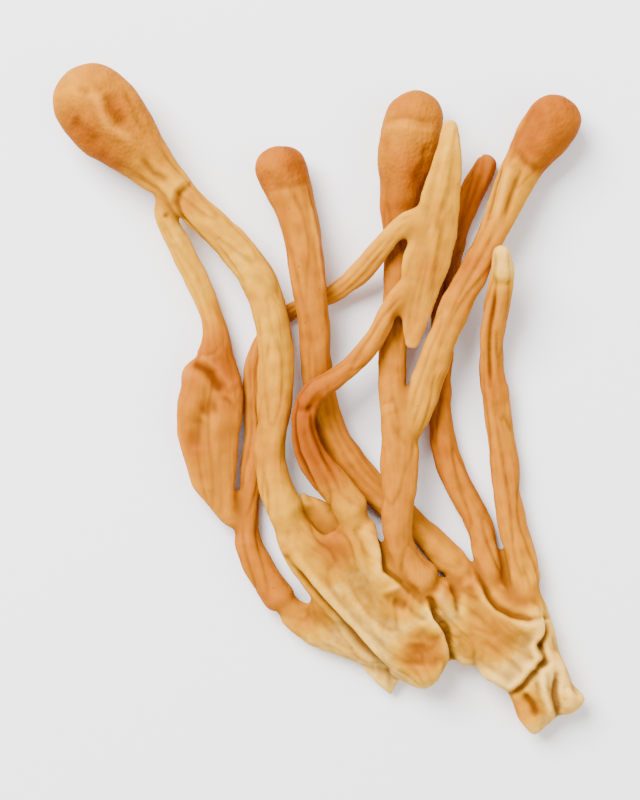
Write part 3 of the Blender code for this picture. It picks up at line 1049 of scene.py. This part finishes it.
class Graph:
    """A node tree that is wired up by short calls."""

    def __init__(self, tree: bpy.types.NodeTree) -> None:
        """Takes the tree to wire."""
        self.tree = tree

    def node(self, kind: str, **settings: object) -> bpy.types.Node:
        """Adds a node.

        Args:
            kind: Its type, without the word ShaderNode.
            **settings: Its properties.

        Returns:
            The node.
        """
        made = self.tree.nodes.new("ShaderNode" + kind)
        for name, value in settings.items():
            setattr(made, name, value)
        return made

    def feed(self, socket: bpy.types.NodeSocket, value: object) -> None:
        """Links an output to a socket, or sets the socket's value."""
        if isinstance(value, bpy.types.NodeSocket):
            self.tree.links.new(value, socket)
        else:
            socket.default_value = value

    def fed(self, made: bpy.types.Node, **values: object) -> bpy.types.Node:
        """Feeds a node's inputs, each called by its name with _ for a space, and returns it."""
        for name, value in values.items():
            self.feed(made.inputs[name.replace("_", " ")], value)
        return made

    def maths(self, operation: str, *values: object) -> bpy.types.NodeSocket:
        """One sum on numbers."""
        made = self.node("Math", operation=operation)
        for socket, value in zip(made.inputs, values):
            self.feed(socket, value)
        return made.outputs[0]

    def times(self, a: object, b: object) -> bpy.types.NodeSocket:
        """A number multiplied by another."""
        return self.maths("MULTIPLY", a, b)

    def minus(self, a: object, b: object) -> bpy.types.NodeSocket:
        """A number less another."""
        return self.maths("SUBTRACT", a, b)

    def blend(self, share: object, a: object, b: object) -> bpy.types.NodeSocket:
        """A mix of two colours."""
        made = self.node("Mix", data_type="RGBA")
        for socket, value in (("Factor", share), (COLOUR_A, a), (COLOUR_B, b)):
            self.feed(made.inputs[socket], value)
        return made.outputs[COLOUR_MIX]

    def vectors(self, operation: str, a: object, b: object) -> bpy.types.NodeSocket:
        """One sum on two vectors."""
        made = self.node("VectorMath", operation=operation)
        self.feed(made.inputs[0], a)
        self.feed(made.inputs[1], b)
        return made.outputs[0]

    def noise(self, vector: object, scale: float, detail: float = 2.0) -> bpy.types.NodeSocket:
        """Noise of one scale, in lumps to the metre."""
        made = self.fed(self.node("TexNoise"), Vector=vector, Scale=scale, Detail=detail)
        return made.outputs["Fac"]

    def cells(self, kind: str, vector: object, scale: float) -> bpy.types.NodeSocket:
        """How far a place is from the middle of its cell, in cells of one scale to the metre."""
        made = self.fed(self.node("TexVoronoi", feature=kind), Vector=vector, Scale=scale)
        return made.outputs["Distance"]

    def stretched(self, value: object, low: float, high: float) -> bpy.types.NodeSocket:
        """A value from low to high brought to 0 to 1."""
        made = self.node("MapRange", interpolation_type="SMOOTHSTEP")
        return self.fed(made, Value=value, From_Min=low, From_Max=high).outputs["Result"]


def node_group(name: str, inputs: dict[str, str], outputs: dict[str, str]) -> bpy.types.NodeTree:
    """Starts a shader node group.

    Args:
        name: The group's name.
        inputs: Socket types by name.
        outputs: Socket types by name.

    Returns:
        The group, with its input and output nodes in it.
    """
    group = bpy.data.node_groups.new(name, "ShaderNodeTree")
    for sockets, direction in ((inputs, "INPUT"), (outputs, "OUTPUT")):
        for socket, kind in sockets.items():
            kind = "NodeSocket" + kind
            group.interface.new_socket(name=socket, in_out=direction, socket_type=kind)
    group.nodes.new("NodeGroupInput")
    group.nodes.new("NodeGroupOutput")
    return group


def skin_tint_group() -> bpy.types.NodeTree:
    """The colour of dried skin, from straw to deep orange, with mottling, painted shade in the
    hollows and painted highlights on the ridges.
    """
    inputs = {"Place": "Vector"}
    inputs |= dict.fromkeys(("Ripeness", "Hollow", "Ridge", "Mottle"), "Float")
    group = node_group("dried_skin_tint", inputs, {"Color": "Color"})
    graph = Graph(group)
    given = group.nodes["Group Input"].outputs
    patches, spots = (
        graph.times(graph.minus(graph.noise(given["Place"], scale, detail), 0.5), weight)
        for scale, detail, weight in (TINT_PATCHES, TINT_SPOTS)
    )
    sway = graph.maths("ADD", patches, spots)
    ripe = graph.maths("MULTIPLY_ADD", sway, given["Mottle"], given["Ripeness"])
    ramp = graph.node("ValToRGB")
    stops = ramp.color_ramp.elements
    stops[0].color = RIPENESS_STOPS[0][1]
    stops[1].color = RIPENESS_STOPS[-1][1]
    for place, colour in RIPENESS_STOPS[1:-1]:
        stops.new(place).color = colour
    graph.fed(ramp, Fac=ripe)
    # Painted shade in the hollows.
    hollow_shade = graph.times(given["Hollow"], HOLLOW_SHADE_STRENGTH)
    colour = graph.blend(hollow_shade, ramp.outputs["Color"], PAINTED_SHADE_BROWN)
    # Painted highlight on the ridges, weaker where the skin is riper.
    pale, less = RIDGE_HIGHLIGHT
    ridge_highlight = graph.minus(pale, graph.times(given["Ripeness"], less))
    colour = graph.blend(graph.times(given["Ridge"], ridge_highlight), colour, PAINTED_HIGHLIGHT)
    dot = graph.stretched(graph.cells("F1", given["Place"], SPECK_SCALE), *SPECK_SIZE)
    area = graph.stretched(graph.noise(given["Place"], *SPECK_AREAS), *SPECK_LEVELS)
    speck = graph.times(graph.minus(1.0, dot), area)
    colour = graph.blend(graph.times(speck, SPECK_STRENGTH), colour, UMBER)
    graph.fed(group.nodes["Group Output"], Color=colour)
    return group


def shrink_wrinkle_group() -> bpy.types.NodeTree:
    """The height of fine wrinkles that run along a stalk."""
    group = node_group(
        "shrink_wrinkles",
        {"Lengthwise": "Vector", "Calm": "Float", "Depth": "Float"},
        {"Height": "Float"},
    )
    graph = Graph(group)
    given = group.nodes["Group Input"].outputs
    along = graph.vectors("MULTIPLY", given["Lengthwise"], WRINKLE_STRETCH)
    (scale, detail, depth), (fine_scale, fine_detail, fine_depth) = COARSE_WRINKLES, FINE_WRINKLES
    folded = graph.maths("ABSOLUTE", graph.minus(graph.noise(along, scale, detail), 0.5))
    fine = graph.noise(along, fine_scale, fine_detail)
    height = graph.maths("MULTIPLY_ADD", fine, fine_depth, graph.times(folded, depth))
    height = graph.times(graph.times(height, given["Calm"]), given["Depth"])
    graph.fed(group.nodes["Group Output"], Height=height)
    return group


def club_grain_group() -> bpy.types.NodeTree:
    """The height of a club's fine grain and of the pitted skin between the grains."""
    group = node_group(
        "club_grain",
        {"Place": "Vector", "Head": "Float", "Depth": "Float"},
        {"Height": "Float"},
    )
    graph = Graph(group)
    given = group.nodes["Group Input"].outputs
    wobble = graph.fed(graph.node("TexNoise"), Vector=given["Place"], Scale=WOBBLE_SCALE)
    bend = graph.vectors("MULTIPLY", wobble.outputs["Color"], (WOBBLE,) * 3)
    moved = graph.vectors("ADD", given["Place"], bend)
    edge = graph.stretched(graph.cells("SMOOTH_F1", moved, GRAIN_SCALE), *GRAIN_EDGE)
    grain = graph.times(graph.minus(1.0, edge), given["Head"])
    dust = graph.noise(given["Place"], DUST_SCALE, DUST_DETAIL)
    height = graph.maths("MULTIPLY_ADD", dust, DUST_DEPTH, grain)
    graph.fed(group.nodes["Group Output"], Height=graph.times(height, given["Depth"]))
    return group


@dataclass(frozen=True)
class DriedSkin:
    """The finish of one material slot."""

    slot: str
    roughness: float = 0.62
    mottle: float = 0.4
    wrinkle_depth: float = 1.0
    grain_depth: float = 0.6
    relief: float = 0.08 * MM  # what a height of one stands for
    gloss: float = 0.03

    def material(self, groups: dict[str, bpy.types.NodeTree]) -> bpy.types.Material:
        """Builds the slot's material.

        Args:
            groups: The shared node groups by name.

        Returns:
            The material.
        """
        made = bpy.data.materials.new(self.slot)
        made.use_nodes = True
        graph = Graph(made.node_tree)
        shader = made.node_tree.nodes["Principled BSDF"]
        place = graph.node("TexCoord").outputs["Object"]
        read = {}
        for name in ("ripeness", "hollow", "ridge", "head", "calm", "lengthwise"):
            attribute = graph.node("Attribute", attribute_name=name)
            read[name] = attribute.outputs["Vector" if name == "lengthwise" else "Fac"]
        tint, wrinkles, grain = (
            graph.node("Group", node_tree=groups[name]) for name in ("tint", "wrinkles", "grain")
        )
        graph.fed(
            tint, Place=place, Ripeness=read["ripeness"], Hollow=read["hollow"],
            Ridge=read["ridge"], Mottle=self.mottle,
        )
        graph.fed(
            wrinkles, Lengthwise=read["lengthwise"], Calm=read["calm"], Depth=self.wrinkle_depth
        )
        graph.fed(grain, Place=place, Head=read["head"], Depth=self.grain_depth)
        height = graph.maths("ADD", wrinkles.outputs["Height"], grain.outputs["Height"])
        bump = graph.fed(graph.node("Bump"), Distance=self.relief, Height=height)
        rough = graph.maths("MULTIPLY_ADD", read["hollow"], HOLLOW_ROUGHNESS, self.roughness)
        graph.fed(
            shader, Base_Color=tint.outputs["Color"], Roughness=rough,
            Normal=bump.outputs["Normal"], Specular_IOR_Level=self.gloss,
        )
        return made


FINISHES = (
    DriedSkin("amber_skin"),
    DriedSkin("honey_skin"),
    DriedSkin("orange_skin"),
    DriedSkin("base_skin", roughness=0.7, mottle=0.6),
)


# --- The pieces -----------------------------------------------------------------------------


def fruit_bodies() -> Iterator[FruitBody]:
    """The ten fruit bodies, each as it dried.

    Yields:
        Each fruit body.
    """
    yield FruitBody(
        "big_club", "amber_skin", ("base",), head_from=0.76, seed_number=1.0, furrows=0.16,
        ripeness=((0.0, 0.22), (0.09, 0.38), (0.18, 0.42), (0.3, 0.28), (0.45, 0.22), (0.66, 0.25),
                  (0.69, 0.42), (0.70, 0.22), (0.78, 0.40), (0.85, 0.56), (1.0, 0.50)),
        strokes=(
            ridge("ridge across the head", 0.3, 0.6, (0.975, 84), (0.94, 80), (0.915, 91),
                  (0.883, 99), (0.85, 90), (0.812, 85)),
            crease("hollow beside it", 0.42, 1.0, (0.945, 60), (0.905, 72), (0.862, 74)),
            crease("flank hollow", 0.4, 1.1, (0.955, 140), (0.92, 136), (0.87, 136)),
            crease("dimple at the tip", 0.14, 0.45, (0.985, 90), (0.958, 82)),
            crease("far wrinkle", 0.13, 0.45, (0.93, 35), (0.88, 48), (0.82, 60)),
            lip("collar", 0.55, 0.45, (0.62, 178), (0.664, 170), (0.694, 133), (0.707, 90),
                (0.705, 36)),
            crease("fold of the neck", 0.22, 0.4, (0.802, 95), (0.763, 104), (0.729, 79)),
            crease("neck flute", 0.22, 0.4, (0.79, 153), (0.738, 140), (0.70, 140)),
        ),
        patches=(
            Patch("head flank", (0.92, 146), 2.3, 0.3),
            Patch("lower flank", (0.85, 150), 2.0, 0.3),
            Patch("head hollow", (0.905, 68), 1.5, 0.26),
            Patch("head tip", (0.985, 90), 1.6, -0.12),
            Patch("below the collar", (0.682, 95), 1.2, 0.28),
            Patch("fleck", (0.597, 100), 0.5, 0.3),
            Patch("lower fleck", (0.439, 120), 0.6, 0.35),
        ),
    )
    yield FruitBody(
        "side_stalk", "honey_skin", ("big_club", "thread_stalk"), seed_number=2.0, lumps=0.1,
        furrows=0.1,
        ripeness=((0.0, 0.5), (0.25, 0.60), (0.42, 0.76), (0.52, 0.78), (0.6, 0.5), (0.7, 0.22),
                  (1.0, 0.18)),
        strokes=(
            crease("pit at the neck", 0.4, 0.3, (1.0, 82), (0.985, 79)),
            lip("shoulder fold", 0.8, 0.6, (0.495, 165), (0.476, 150), (0.451, 88), (0.412, 42),
                (0.385, 30)),
            ridge("rolled edge", 0.4, 0.7, (0.47, 160), (0.42, 160), (0.36, 156), (0.28, 158)),
            crease("cross crease", 0.3, 0.8, (0.315, 135), (0.337, 89), (0.343, 40)),
            crease("lower crease", 0.2, 0.7, (0.31, 132), (0.262, 140), (0.2, 145)),
        ),
        patches=(
            Patch("fold shade", (0.45, 60), 1.6, 0.1),
            Patch("pit stain", (0.99, 80), 0.5, 0.35),
            Patch("pale belly", (0.39, 115), 1.2, -0.25),
            Patch("pale middle", (0.29, 80), 1.3, -0.2),
            Patch("stain below", (0.21, 150), 1.0, 0.3),
        ),
        pulls=(
            Pull("shoulder", (0.25, 0.50), 2.6, (-0.7, 0.9, 0.2)),
            Pull("waist of its edge", (0.06, 0.37), 2.4, (0.5, 0.0, 0.0)),
            Pull("lower edge", (0.42, 0.22), 3.0, (0.3, 0.0, 0.1)),
        ),
    )
    yield FruitBody(
        "middle_club", "amber_skin", ("base",), head_from=0.90, seed_number=3.0, furrows=0.14,
        ripeness=((0.0, 0.42), (0.15, 0.55), (0.35, 0.60), (0.6, 0.62), (0.85, 0.55), (0.93, 0.6),
                  (0.955, 0.74), (1.0, 0.72)),
        strokes=(
            crease("pinch under the head", 0.12, 0.45, (0.952, 140), (0.943, 90), (0.95, 36)),
            ridge("line down the flank", 0.22, 0.3, (0.94, 36), (0.85, 41), (0.77, 42), (0.68, 38)),
        ),
        patches=(
            Patch("stain on the head", (0.985, 62), 1.2, 0.26),
            Patch("pale flank", (0.86, 38), 0.9, -0.2),
        ),
    )
    yield FruitBody(
        "orange_stalk", "orange_skin", ("base", "flat_blade"), seed_number=4.0, furrows=0.24,
        ripeness=((0.0, 0.30), (0.08, 0.46), (0.15, 0.86), (0.3, 1.0), (0.45, 1.0), (0.6, 0.7),
                  (1.0, 0.42)),
        strokes=(
            ridge("back of the bend", 0.3, 0.45, (0.42, 95), (0.33, 80), (0.2, 70), (0.1, 66)),
            crease("outer furrow", 0.7, 0.35, (0.41, 150), (0.31, 145), (0.2, 140), (0.1, 140)),
            ridge("knuckle", 0.3, 1.1, (0.52, 50), (0.48, 95), (0.46, 140)),
            crease("knuckle crease", 0.3, 0.35, (0.40, 150), (0.405, 100), (0.425, 50)),
        ),
    )
    yield FruitBody(
        "flat_blade", "honey_skin", (), seed_number=5.0, furrows=0.12, oval=0.0, lumps=0.1,
        ripeness=((0.0, 0.42), (0.3, 0.28), (0.6, 0.30), (1.0, 0.2)),
        patches=(
            Patch("blush", (0.3, 60), 1.5, 0.24),
            Patch("fork", (0.6, 84), 1.0, 0.12),
        ),
        strokes=(
            ridge("keel", 0.25, 0.7, (0.98, 120), (0.85, 110), (0.62, 95), (0.3, 90)),
            crease("bent crease", 0.16, 0.5, (0.72, 62), (0.6, 84), (0.5, 60)),
        ),
    )
    yield FruitBody(
        "tall_club", "amber_skin", ("base",), head_from=0.80, seed_number=6.0,
        ripeness=((0.0, 0.52), (0.08, 0.60), (0.2, 0.56), (0.35, 0.48), (0.6, 0.62), (0.8, 0.78),
                  (0.93, 0.58), (0.965, 0.42), (0.985, 0.62), (1.0, 0.66)),
        strokes=(
            lip("shoulder of the cap", 0.2, 0.6, (0.978, 15), (0.968, 60), (0.972, 105),
                (0.955, 175)),
            crease("flank hollow", 0.3, 0.8, (0.94, 58), (0.89, 50), (0.84, 67)),
            ridge("knob by the fork", 0.14, 0.8, (0.376, 125), (0.352, 120)),
        ),
        patches=(
            Patch("blush", (0.87, 62), 1.5, 0.2),
            Patch("pale edge", (0.88, 165), 1.0, -0.18),
        ),
    )
    yield FruitBody(
        "right_club", "amber_skin", ("tall_club",), head_from=0.80, seed_number=7.0,
        ripeness=((0.0, 0.36), (0.2, 0.35), (0.4, 0.55), (0.5, 0.6), (0.62, 0.36), (0.79, 0.34),
                  (0.82, 0.80), (1.0, 0.84)),
        strokes=(
            crease("pinch under the head", 0.22, 0.5, (0.83, 150), (0.806, 90), (0.808, 40)),
            ridge("rim of the head", 0.25, 0.5, (0.85, 170), (0.92, 168), (0.99, 160)),
            crease("neck flute", 0.3, 0.35, (0.785, 160), (0.70, 155), (0.596, 139)),
            ridge("neck ridge", 0.28, 0.4, (0.785, 131), (0.708, 117), (0.59, 98)),
            crease("second flute", 0.22, 0.35, (0.77, 95), (0.70, 85), (0.62, 70)),
        ),
        patches=(
            Patch("pale rim", (0.90, 172), 0.9, -0.4),
            Patch("stain under the head", (0.86, 100), 1.0, 0.14),
            Patch("stain on the stalk", (0.465, 140), 0.8, 0.3),
        ),
    )
    yield FruitBody(
        "back_stalk", "orange_skin", ("base",), seed_number=8.0, furrows=0.22,
        ripeness=((0.0, 0.5), (0.12, 0.62), (0.3, 0.72), (0.85, 0.8), (1.0, 0.9)),
    )
    yield FruitBody(
        "outer_stalk", "honey_skin", ("base",), seed_number=9.0, furrows=0.24,
        ripeness=((0.0, 0.36), (0.12, 0.52), (0.3, 0.58), (0.5, 0.52), (0.6, 0.72), (0.7, 0.6),
                  (0.9, 0.52), (0.945, 0.22), (1.0, 0.08)),
        strokes=(
            crease("long furrow", 0.4, 0.3, (0.93, 118), (0.84, 113), (0.675, 108), (0.6, 112)),
            crease("pinch under the nub", 0.14, 0.4, (0.945, 150), (0.94, 90), (0.945, 30)),
        ),
    )
    yield FruitBody(
        "thread_stalk", "amber_skin", ("base", "flat_blade"), seed_number=10.0, furrows=0.2,
        ripeness=((0.0, 0.7), (0.4, 0.66), (0.6, 0.62), (0.8, 0.4), (1.0, 0.3)),
    )


def base() -> Base:
    """The base, as it dried: a pale lobe that lies over a yellow one with a pleated foot.

    Returns:
        The base.
    """
    return Base(
        "base", "base_skin",
        ripeness=((0.0, 0.06), (0.3, 0.04), (0.55, 0.10), (0.8, 0.22), (1.0, 0.38)),
        strokes=(
            lip("left lobe over the right one", 1.5, 0.4, (1.0, 0.33), (0.907, 0.34), (0.747, 0.36),
                (0.70, 0.41), (0.664, 0.47), (0.61, 0.509), (0.53, 0.521), (0.468, 0.559),
                (0.379, 0.569), (0.299, 0.585)),
            crease("notch by the knob", 0.35, 0.4, (0.30, 0.59), (0.40, 0.572), (0.52, 0.535)),
            ridge("foot of the trunk", 0.75, 0.75, (0.93, 0.40), (0.79, 0.42), (0.744, 0.464),
                  (0.655, 0.528), (0.557, 0.585)),
            crease("crease above it", 1.2, 0.36, (0.93, 0.45), (0.824, 0.462), (0.775, 0.502),
                   (0.735, 0.547), (0.715, 0.59)),
            ridge("foot of the middle stalk", 0.5, 0.6, (0.86, 0.51), (0.80, 0.565), (0.73, 0.62),
                  (0.646, 0.63)),
            crease("crease along it", 0.45, 0.45, (0.70, 0.585), (0.628, 0.605), (0.539, 0.60)),
            crease("left lobe's valley", 0.4, 1.2, (0.791, 0.238), (0.606, 0.326), (0.471, 0.414)),
            ridge("left lobe's edge", 0.45, 0.6, (0.852, 0.063), (0.692, 0.142), (0.557, 0.229),
                  (0.434, 0.308), (0.299, 0.396)),
            crease("shadow of that edge", 0.9, 0.45, (0.28, 0.375), (0.41, 0.285), (0.53, 0.205),
                   (0.66, 0.12), (0.80, 0.045)),
            ridge("fold", 0.4, 0.35, (0.655, 0.361), (0.674, 0.414), (0.637, 0.484)),
            crease("hollow below it", 0.35, 0.6, (0.61, 0.385), (0.585, 0.445)),
            ridge("rim of the knob", 0.4, 0.4, (0.51, 0.50), (0.45, 0.545), (0.345, 0.556),
                  (0.25, 0.528)),
            crease("cup of the knob", 0.45, 1.1, (0.432, 0.477), (0.361, 0.471), (0.30, 0.47)),
            lip("upper rim of the sheet", 1.2, 0.42, (0.77, 0.661), (0.69, 0.68), (0.61, 0.705),
                (0.566, 0.731), (0.526, 0.781), (0.512, 0.838), (0.515, 0.893)),
            lip("torn edge of the sheet", 1.2, 0.32, (0.51, 0.89), (0.45, 0.889), (0.397, 0.867),
                (0.343, 0.886), (0.295, 0.865)),
            crease("upper hole", 1.1, 0.3, (0.50, 0.897), (0.45, 0.90)),
            crease("middle hole", 0.9, 0.25, (0.415, 0.87), (0.375, 0.888)),
            crease("lower hole", 1.0, 0.28, (0.303, 0.864), (0.325, 0.905)),
            ridge("lower rim of the sheet", 0.5, 0.5, (0.361, 0.591), (0.299, 0.654),
                  (0.245, 0.731), (0.201, 0.794)),
            lip("sheet over the foot", 1.2, 0.36, (0.303, 0.87), (0.281, 0.845), (0.228, 0.819),
                (0.18, 0.775)),
            crease("hollow of the foot", 0.7, 0.6, (0.18, 0.81), (0.125, 0.85), (0.06, 0.87)),
            ridge("pleat of the foot", 0.6, 0.4, (0.285, 0.88), (0.174, 0.89), (0.059, 0.918)),
            crease("groove of the foot", 0.7, 0.3, (0.263, 0.93), (0.165, 0.924), (0.076, 0.937)),
            ridge("outer pleat", 0.4, 0.4, (0.35, 0.935), (0.228, 0.962), (0.12, 0.985)),
            ridge("orange stalk's foot", 0.4, 0.6, (0.987, 0.291), (0.864, 0.321), (0.766, 0.343)),
        ),
        patches=(
            Patch("stain between the roots", (0.84, 0.20), 1.9, 0.45),
            Patch("blushing fold", (0.60, 0.42), 1.6, 0.40),
            Patch("cup", (0.37, 0.485), 2.3, 0.55),
            Patch("trunk's foot", (0.80, 0.43), 1.8, 0.30),
            Patch("trunk's end", (0.66, 0.54), 1.8, 0.36),
            Patch("middle stalk's foot", (0.70, 0.64), 2.0, 0.42),
            Patch("outer stalk's foot", (0.68, 0.80), 2.8, 0.5),
            Patch("yellow sheet", (0.46, 0.70), 3.0, 0.34),
            Patch("foot hollow", (0.12, 0.83), 1.8, 0.34),
            Patch("left flank", (0.55, 0.10), 2.4, 0.35),
        ),
        pulls=(
            Pull("right tip", (0.985, 0.14), 1.8, (1.0, 0.2, 0.4)),
            Pull("edge between the tips", (0.95, 0.05), 2.0, (-0.3, 0.5, 0.0)),
            Pull("lower tip", (0.86, 0.01), 1.7, (0.0, -0.6, 0.0)),
            Pull("knob", (0.50, 0.24), 2.6, (0.1, -0.4, 0.3)),
            Pull("edge of the right lobe", (0.72, 0.27), 2.2, (-0.1, -0.5, 0.3)),
            Pull("crumpled rim", (0.84, 0.50), 2.4, (0.2, 0.1, 0.7)),
        ),
        flaps=(
            Flap("upper flap",
                 ((0.185, 0.60, 2.7), (0.305, 0.43, 2.7), (0.293, 0.31, 2.0), (0.118, 0.46, 2.9)),
                 0.5),
            Flap("lower flap",
                 ((0.318, 0.41, 2.4), (0.426, 0.25, 2.2), (0.394, 0.145, 1.2), (0.299, 0.27, 1.8)),
                 0.6),
            Flap("web left of the orange stalk",
                 ((0.10, 0.86, 2.5), (0.26, 0.82, 3.0), (0.205, 1.06, 3.2), (0.088, 1.10, 2.6)),
                 -0.3, 1.3),
            Flap("web left of the outer stalk",
                 ((0.72, 0.62, 1.5), (0.815, 0.62, 1.5), (0.79, 0.83, 1.6), (0.71, 0.83, 1.6)),
                 -0.1, 1.3),
        ),
    )


# --- The studio -----------------------------------------------------------------------------


@dataclass(frozen=True)
class Lamp:
    """A soft square light over the table."""

    name: str
    place: tuple[float, float, float]
    size: float
    watts: float


@dataclass(frozen=True)
class Studio:
    """A pale table, soft light and a camera that looks straight down."""

    floor_size: float = 3.0
    floor_gap: float = 0.02 * MM  # keeps the floor's face off the faces that rest on it
    floor_colour: tuple[float, float, float, float] = (0.92, 0.92, 0.93, 1.0)
    floor_roughness: float = 0.9
    lens: float = 90.0
    sensor: float = 36.0
    fill: float = 0.86  # share of the picture's height that the tuft takes
    air: float = 0.98  # strength of the light from all round
    lamps: tuple[Lamp, ...] = (
        Lamp("key", (-0.24, 0.28, 0.40), 0.34, 11.8),
        Lamp("fill", (0.40, -0.10, 0.40), 0.5, 2.0),
    )

    def build(self) -> None:
        """Builds the floor, the lights and the camera."""
        self.floor()
        for lamp in self.lamps:
            self.light(lamp)
        self.sky()
        self.camera()

    def floor(self) -> None:
        """A plain pale floor under the tuft."""
        bm = bmesh.new()
        under = Matrix.Translation((0.0, 0.0, -self.floor_gap))
        bmesh.ops.create_grid(bm, size=self.floor_size / 2, matrix=under)
        mesh = bpy.data.meshes.new("floor")
        bm.to_mesh(mesh)
        bm.free()
        material = bpy.data.materials.new("floor")
        material.use_nodes = True
        shader = material.node_tree.nodes["Principled BSDF"]
        shader.inputs["Base Color"].default_value = self.floor_colour
        shader.inputs["Roughness"].default_value = self.floor_roughness
        mesh.materials.append(material)
        floor = placed("floor", mesh)
        floor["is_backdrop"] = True

    def light(self, lamp: Lamp) -> None:
        """Hangs a lamp that shines at the tuft's middle."""
        data = bpy.data.lights.new(lamp.name, "AREA")
        data.size = lamp.size
        data.energy = lamp.watts
        obj = placed(lamp.name, data)
        obj.location = lamp.place
        obj.rotation_euler = (-Vector(lamp.place)).to_track_quat("-Z", "Y").to_euler()

    def sky(self) -> None:
        """Even white light from all round."""
        world = bpy.data.worlds.new("air")
        world.use_nodes = True
        background = world.node_tree.nodes["Background"]
        background.inputs["Color"].default_value = (1.0, 1.0, 1.0, 1.0)
        background.inputs["Strength"].default_value = self.air
        bpy.context.scene.world = world

    def camera(self) -> None:
        """A camera straight above the tuft, with the clubs at the top of the picture."""
        low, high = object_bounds()
        tall = (high.y - low.y) / self.fill
        data = bpy.data.cameras.new("camera")
        data.lens = self.lens
        data.sensor_width = self.sensor
        distance = tall * self.lens / self.sensor + high.z
        obj = placed("camera", data)
        obj.location = ((low.x + high.x) / 2, (low.y + high.y) / 2, distance)
        bpy.context.scene.camera = obj


def main() -> None:
    """Builds the tuft and the studio round it."""
    logging.basicConfig(level=logging.INFO, format="%(name)s: %(message)s")
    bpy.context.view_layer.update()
    tuft = Tuft((base(), *fruit_bodies()))
    skin = tuft.fused()
    log.info("fused skin: %d vertices", len(skin.places))
    owner = tuft.owners(skin)
    tuft.dry(skin, owner)
    found = tuft.parted(skin, owner)
    groups = {
        "tint": skin_tint_group(),
        "wrinkles": shrink_wrinkle_group(),
        "grain": club_grain_group(),
    }
    finishes = {finish.slot: finish.material(groups) for finish in FINISHES}
    for piece in tuft.pieces:
        obj = found[piece.node]
        obj.data.materials.append(finishes[piece.slot])
        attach(obj, "root")
        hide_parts(piece.node)
        log.info("%s: %d faces", obj.name, len(obj.data.polygons))
    Studio().build()


if __name__ == "__main__":
    main()
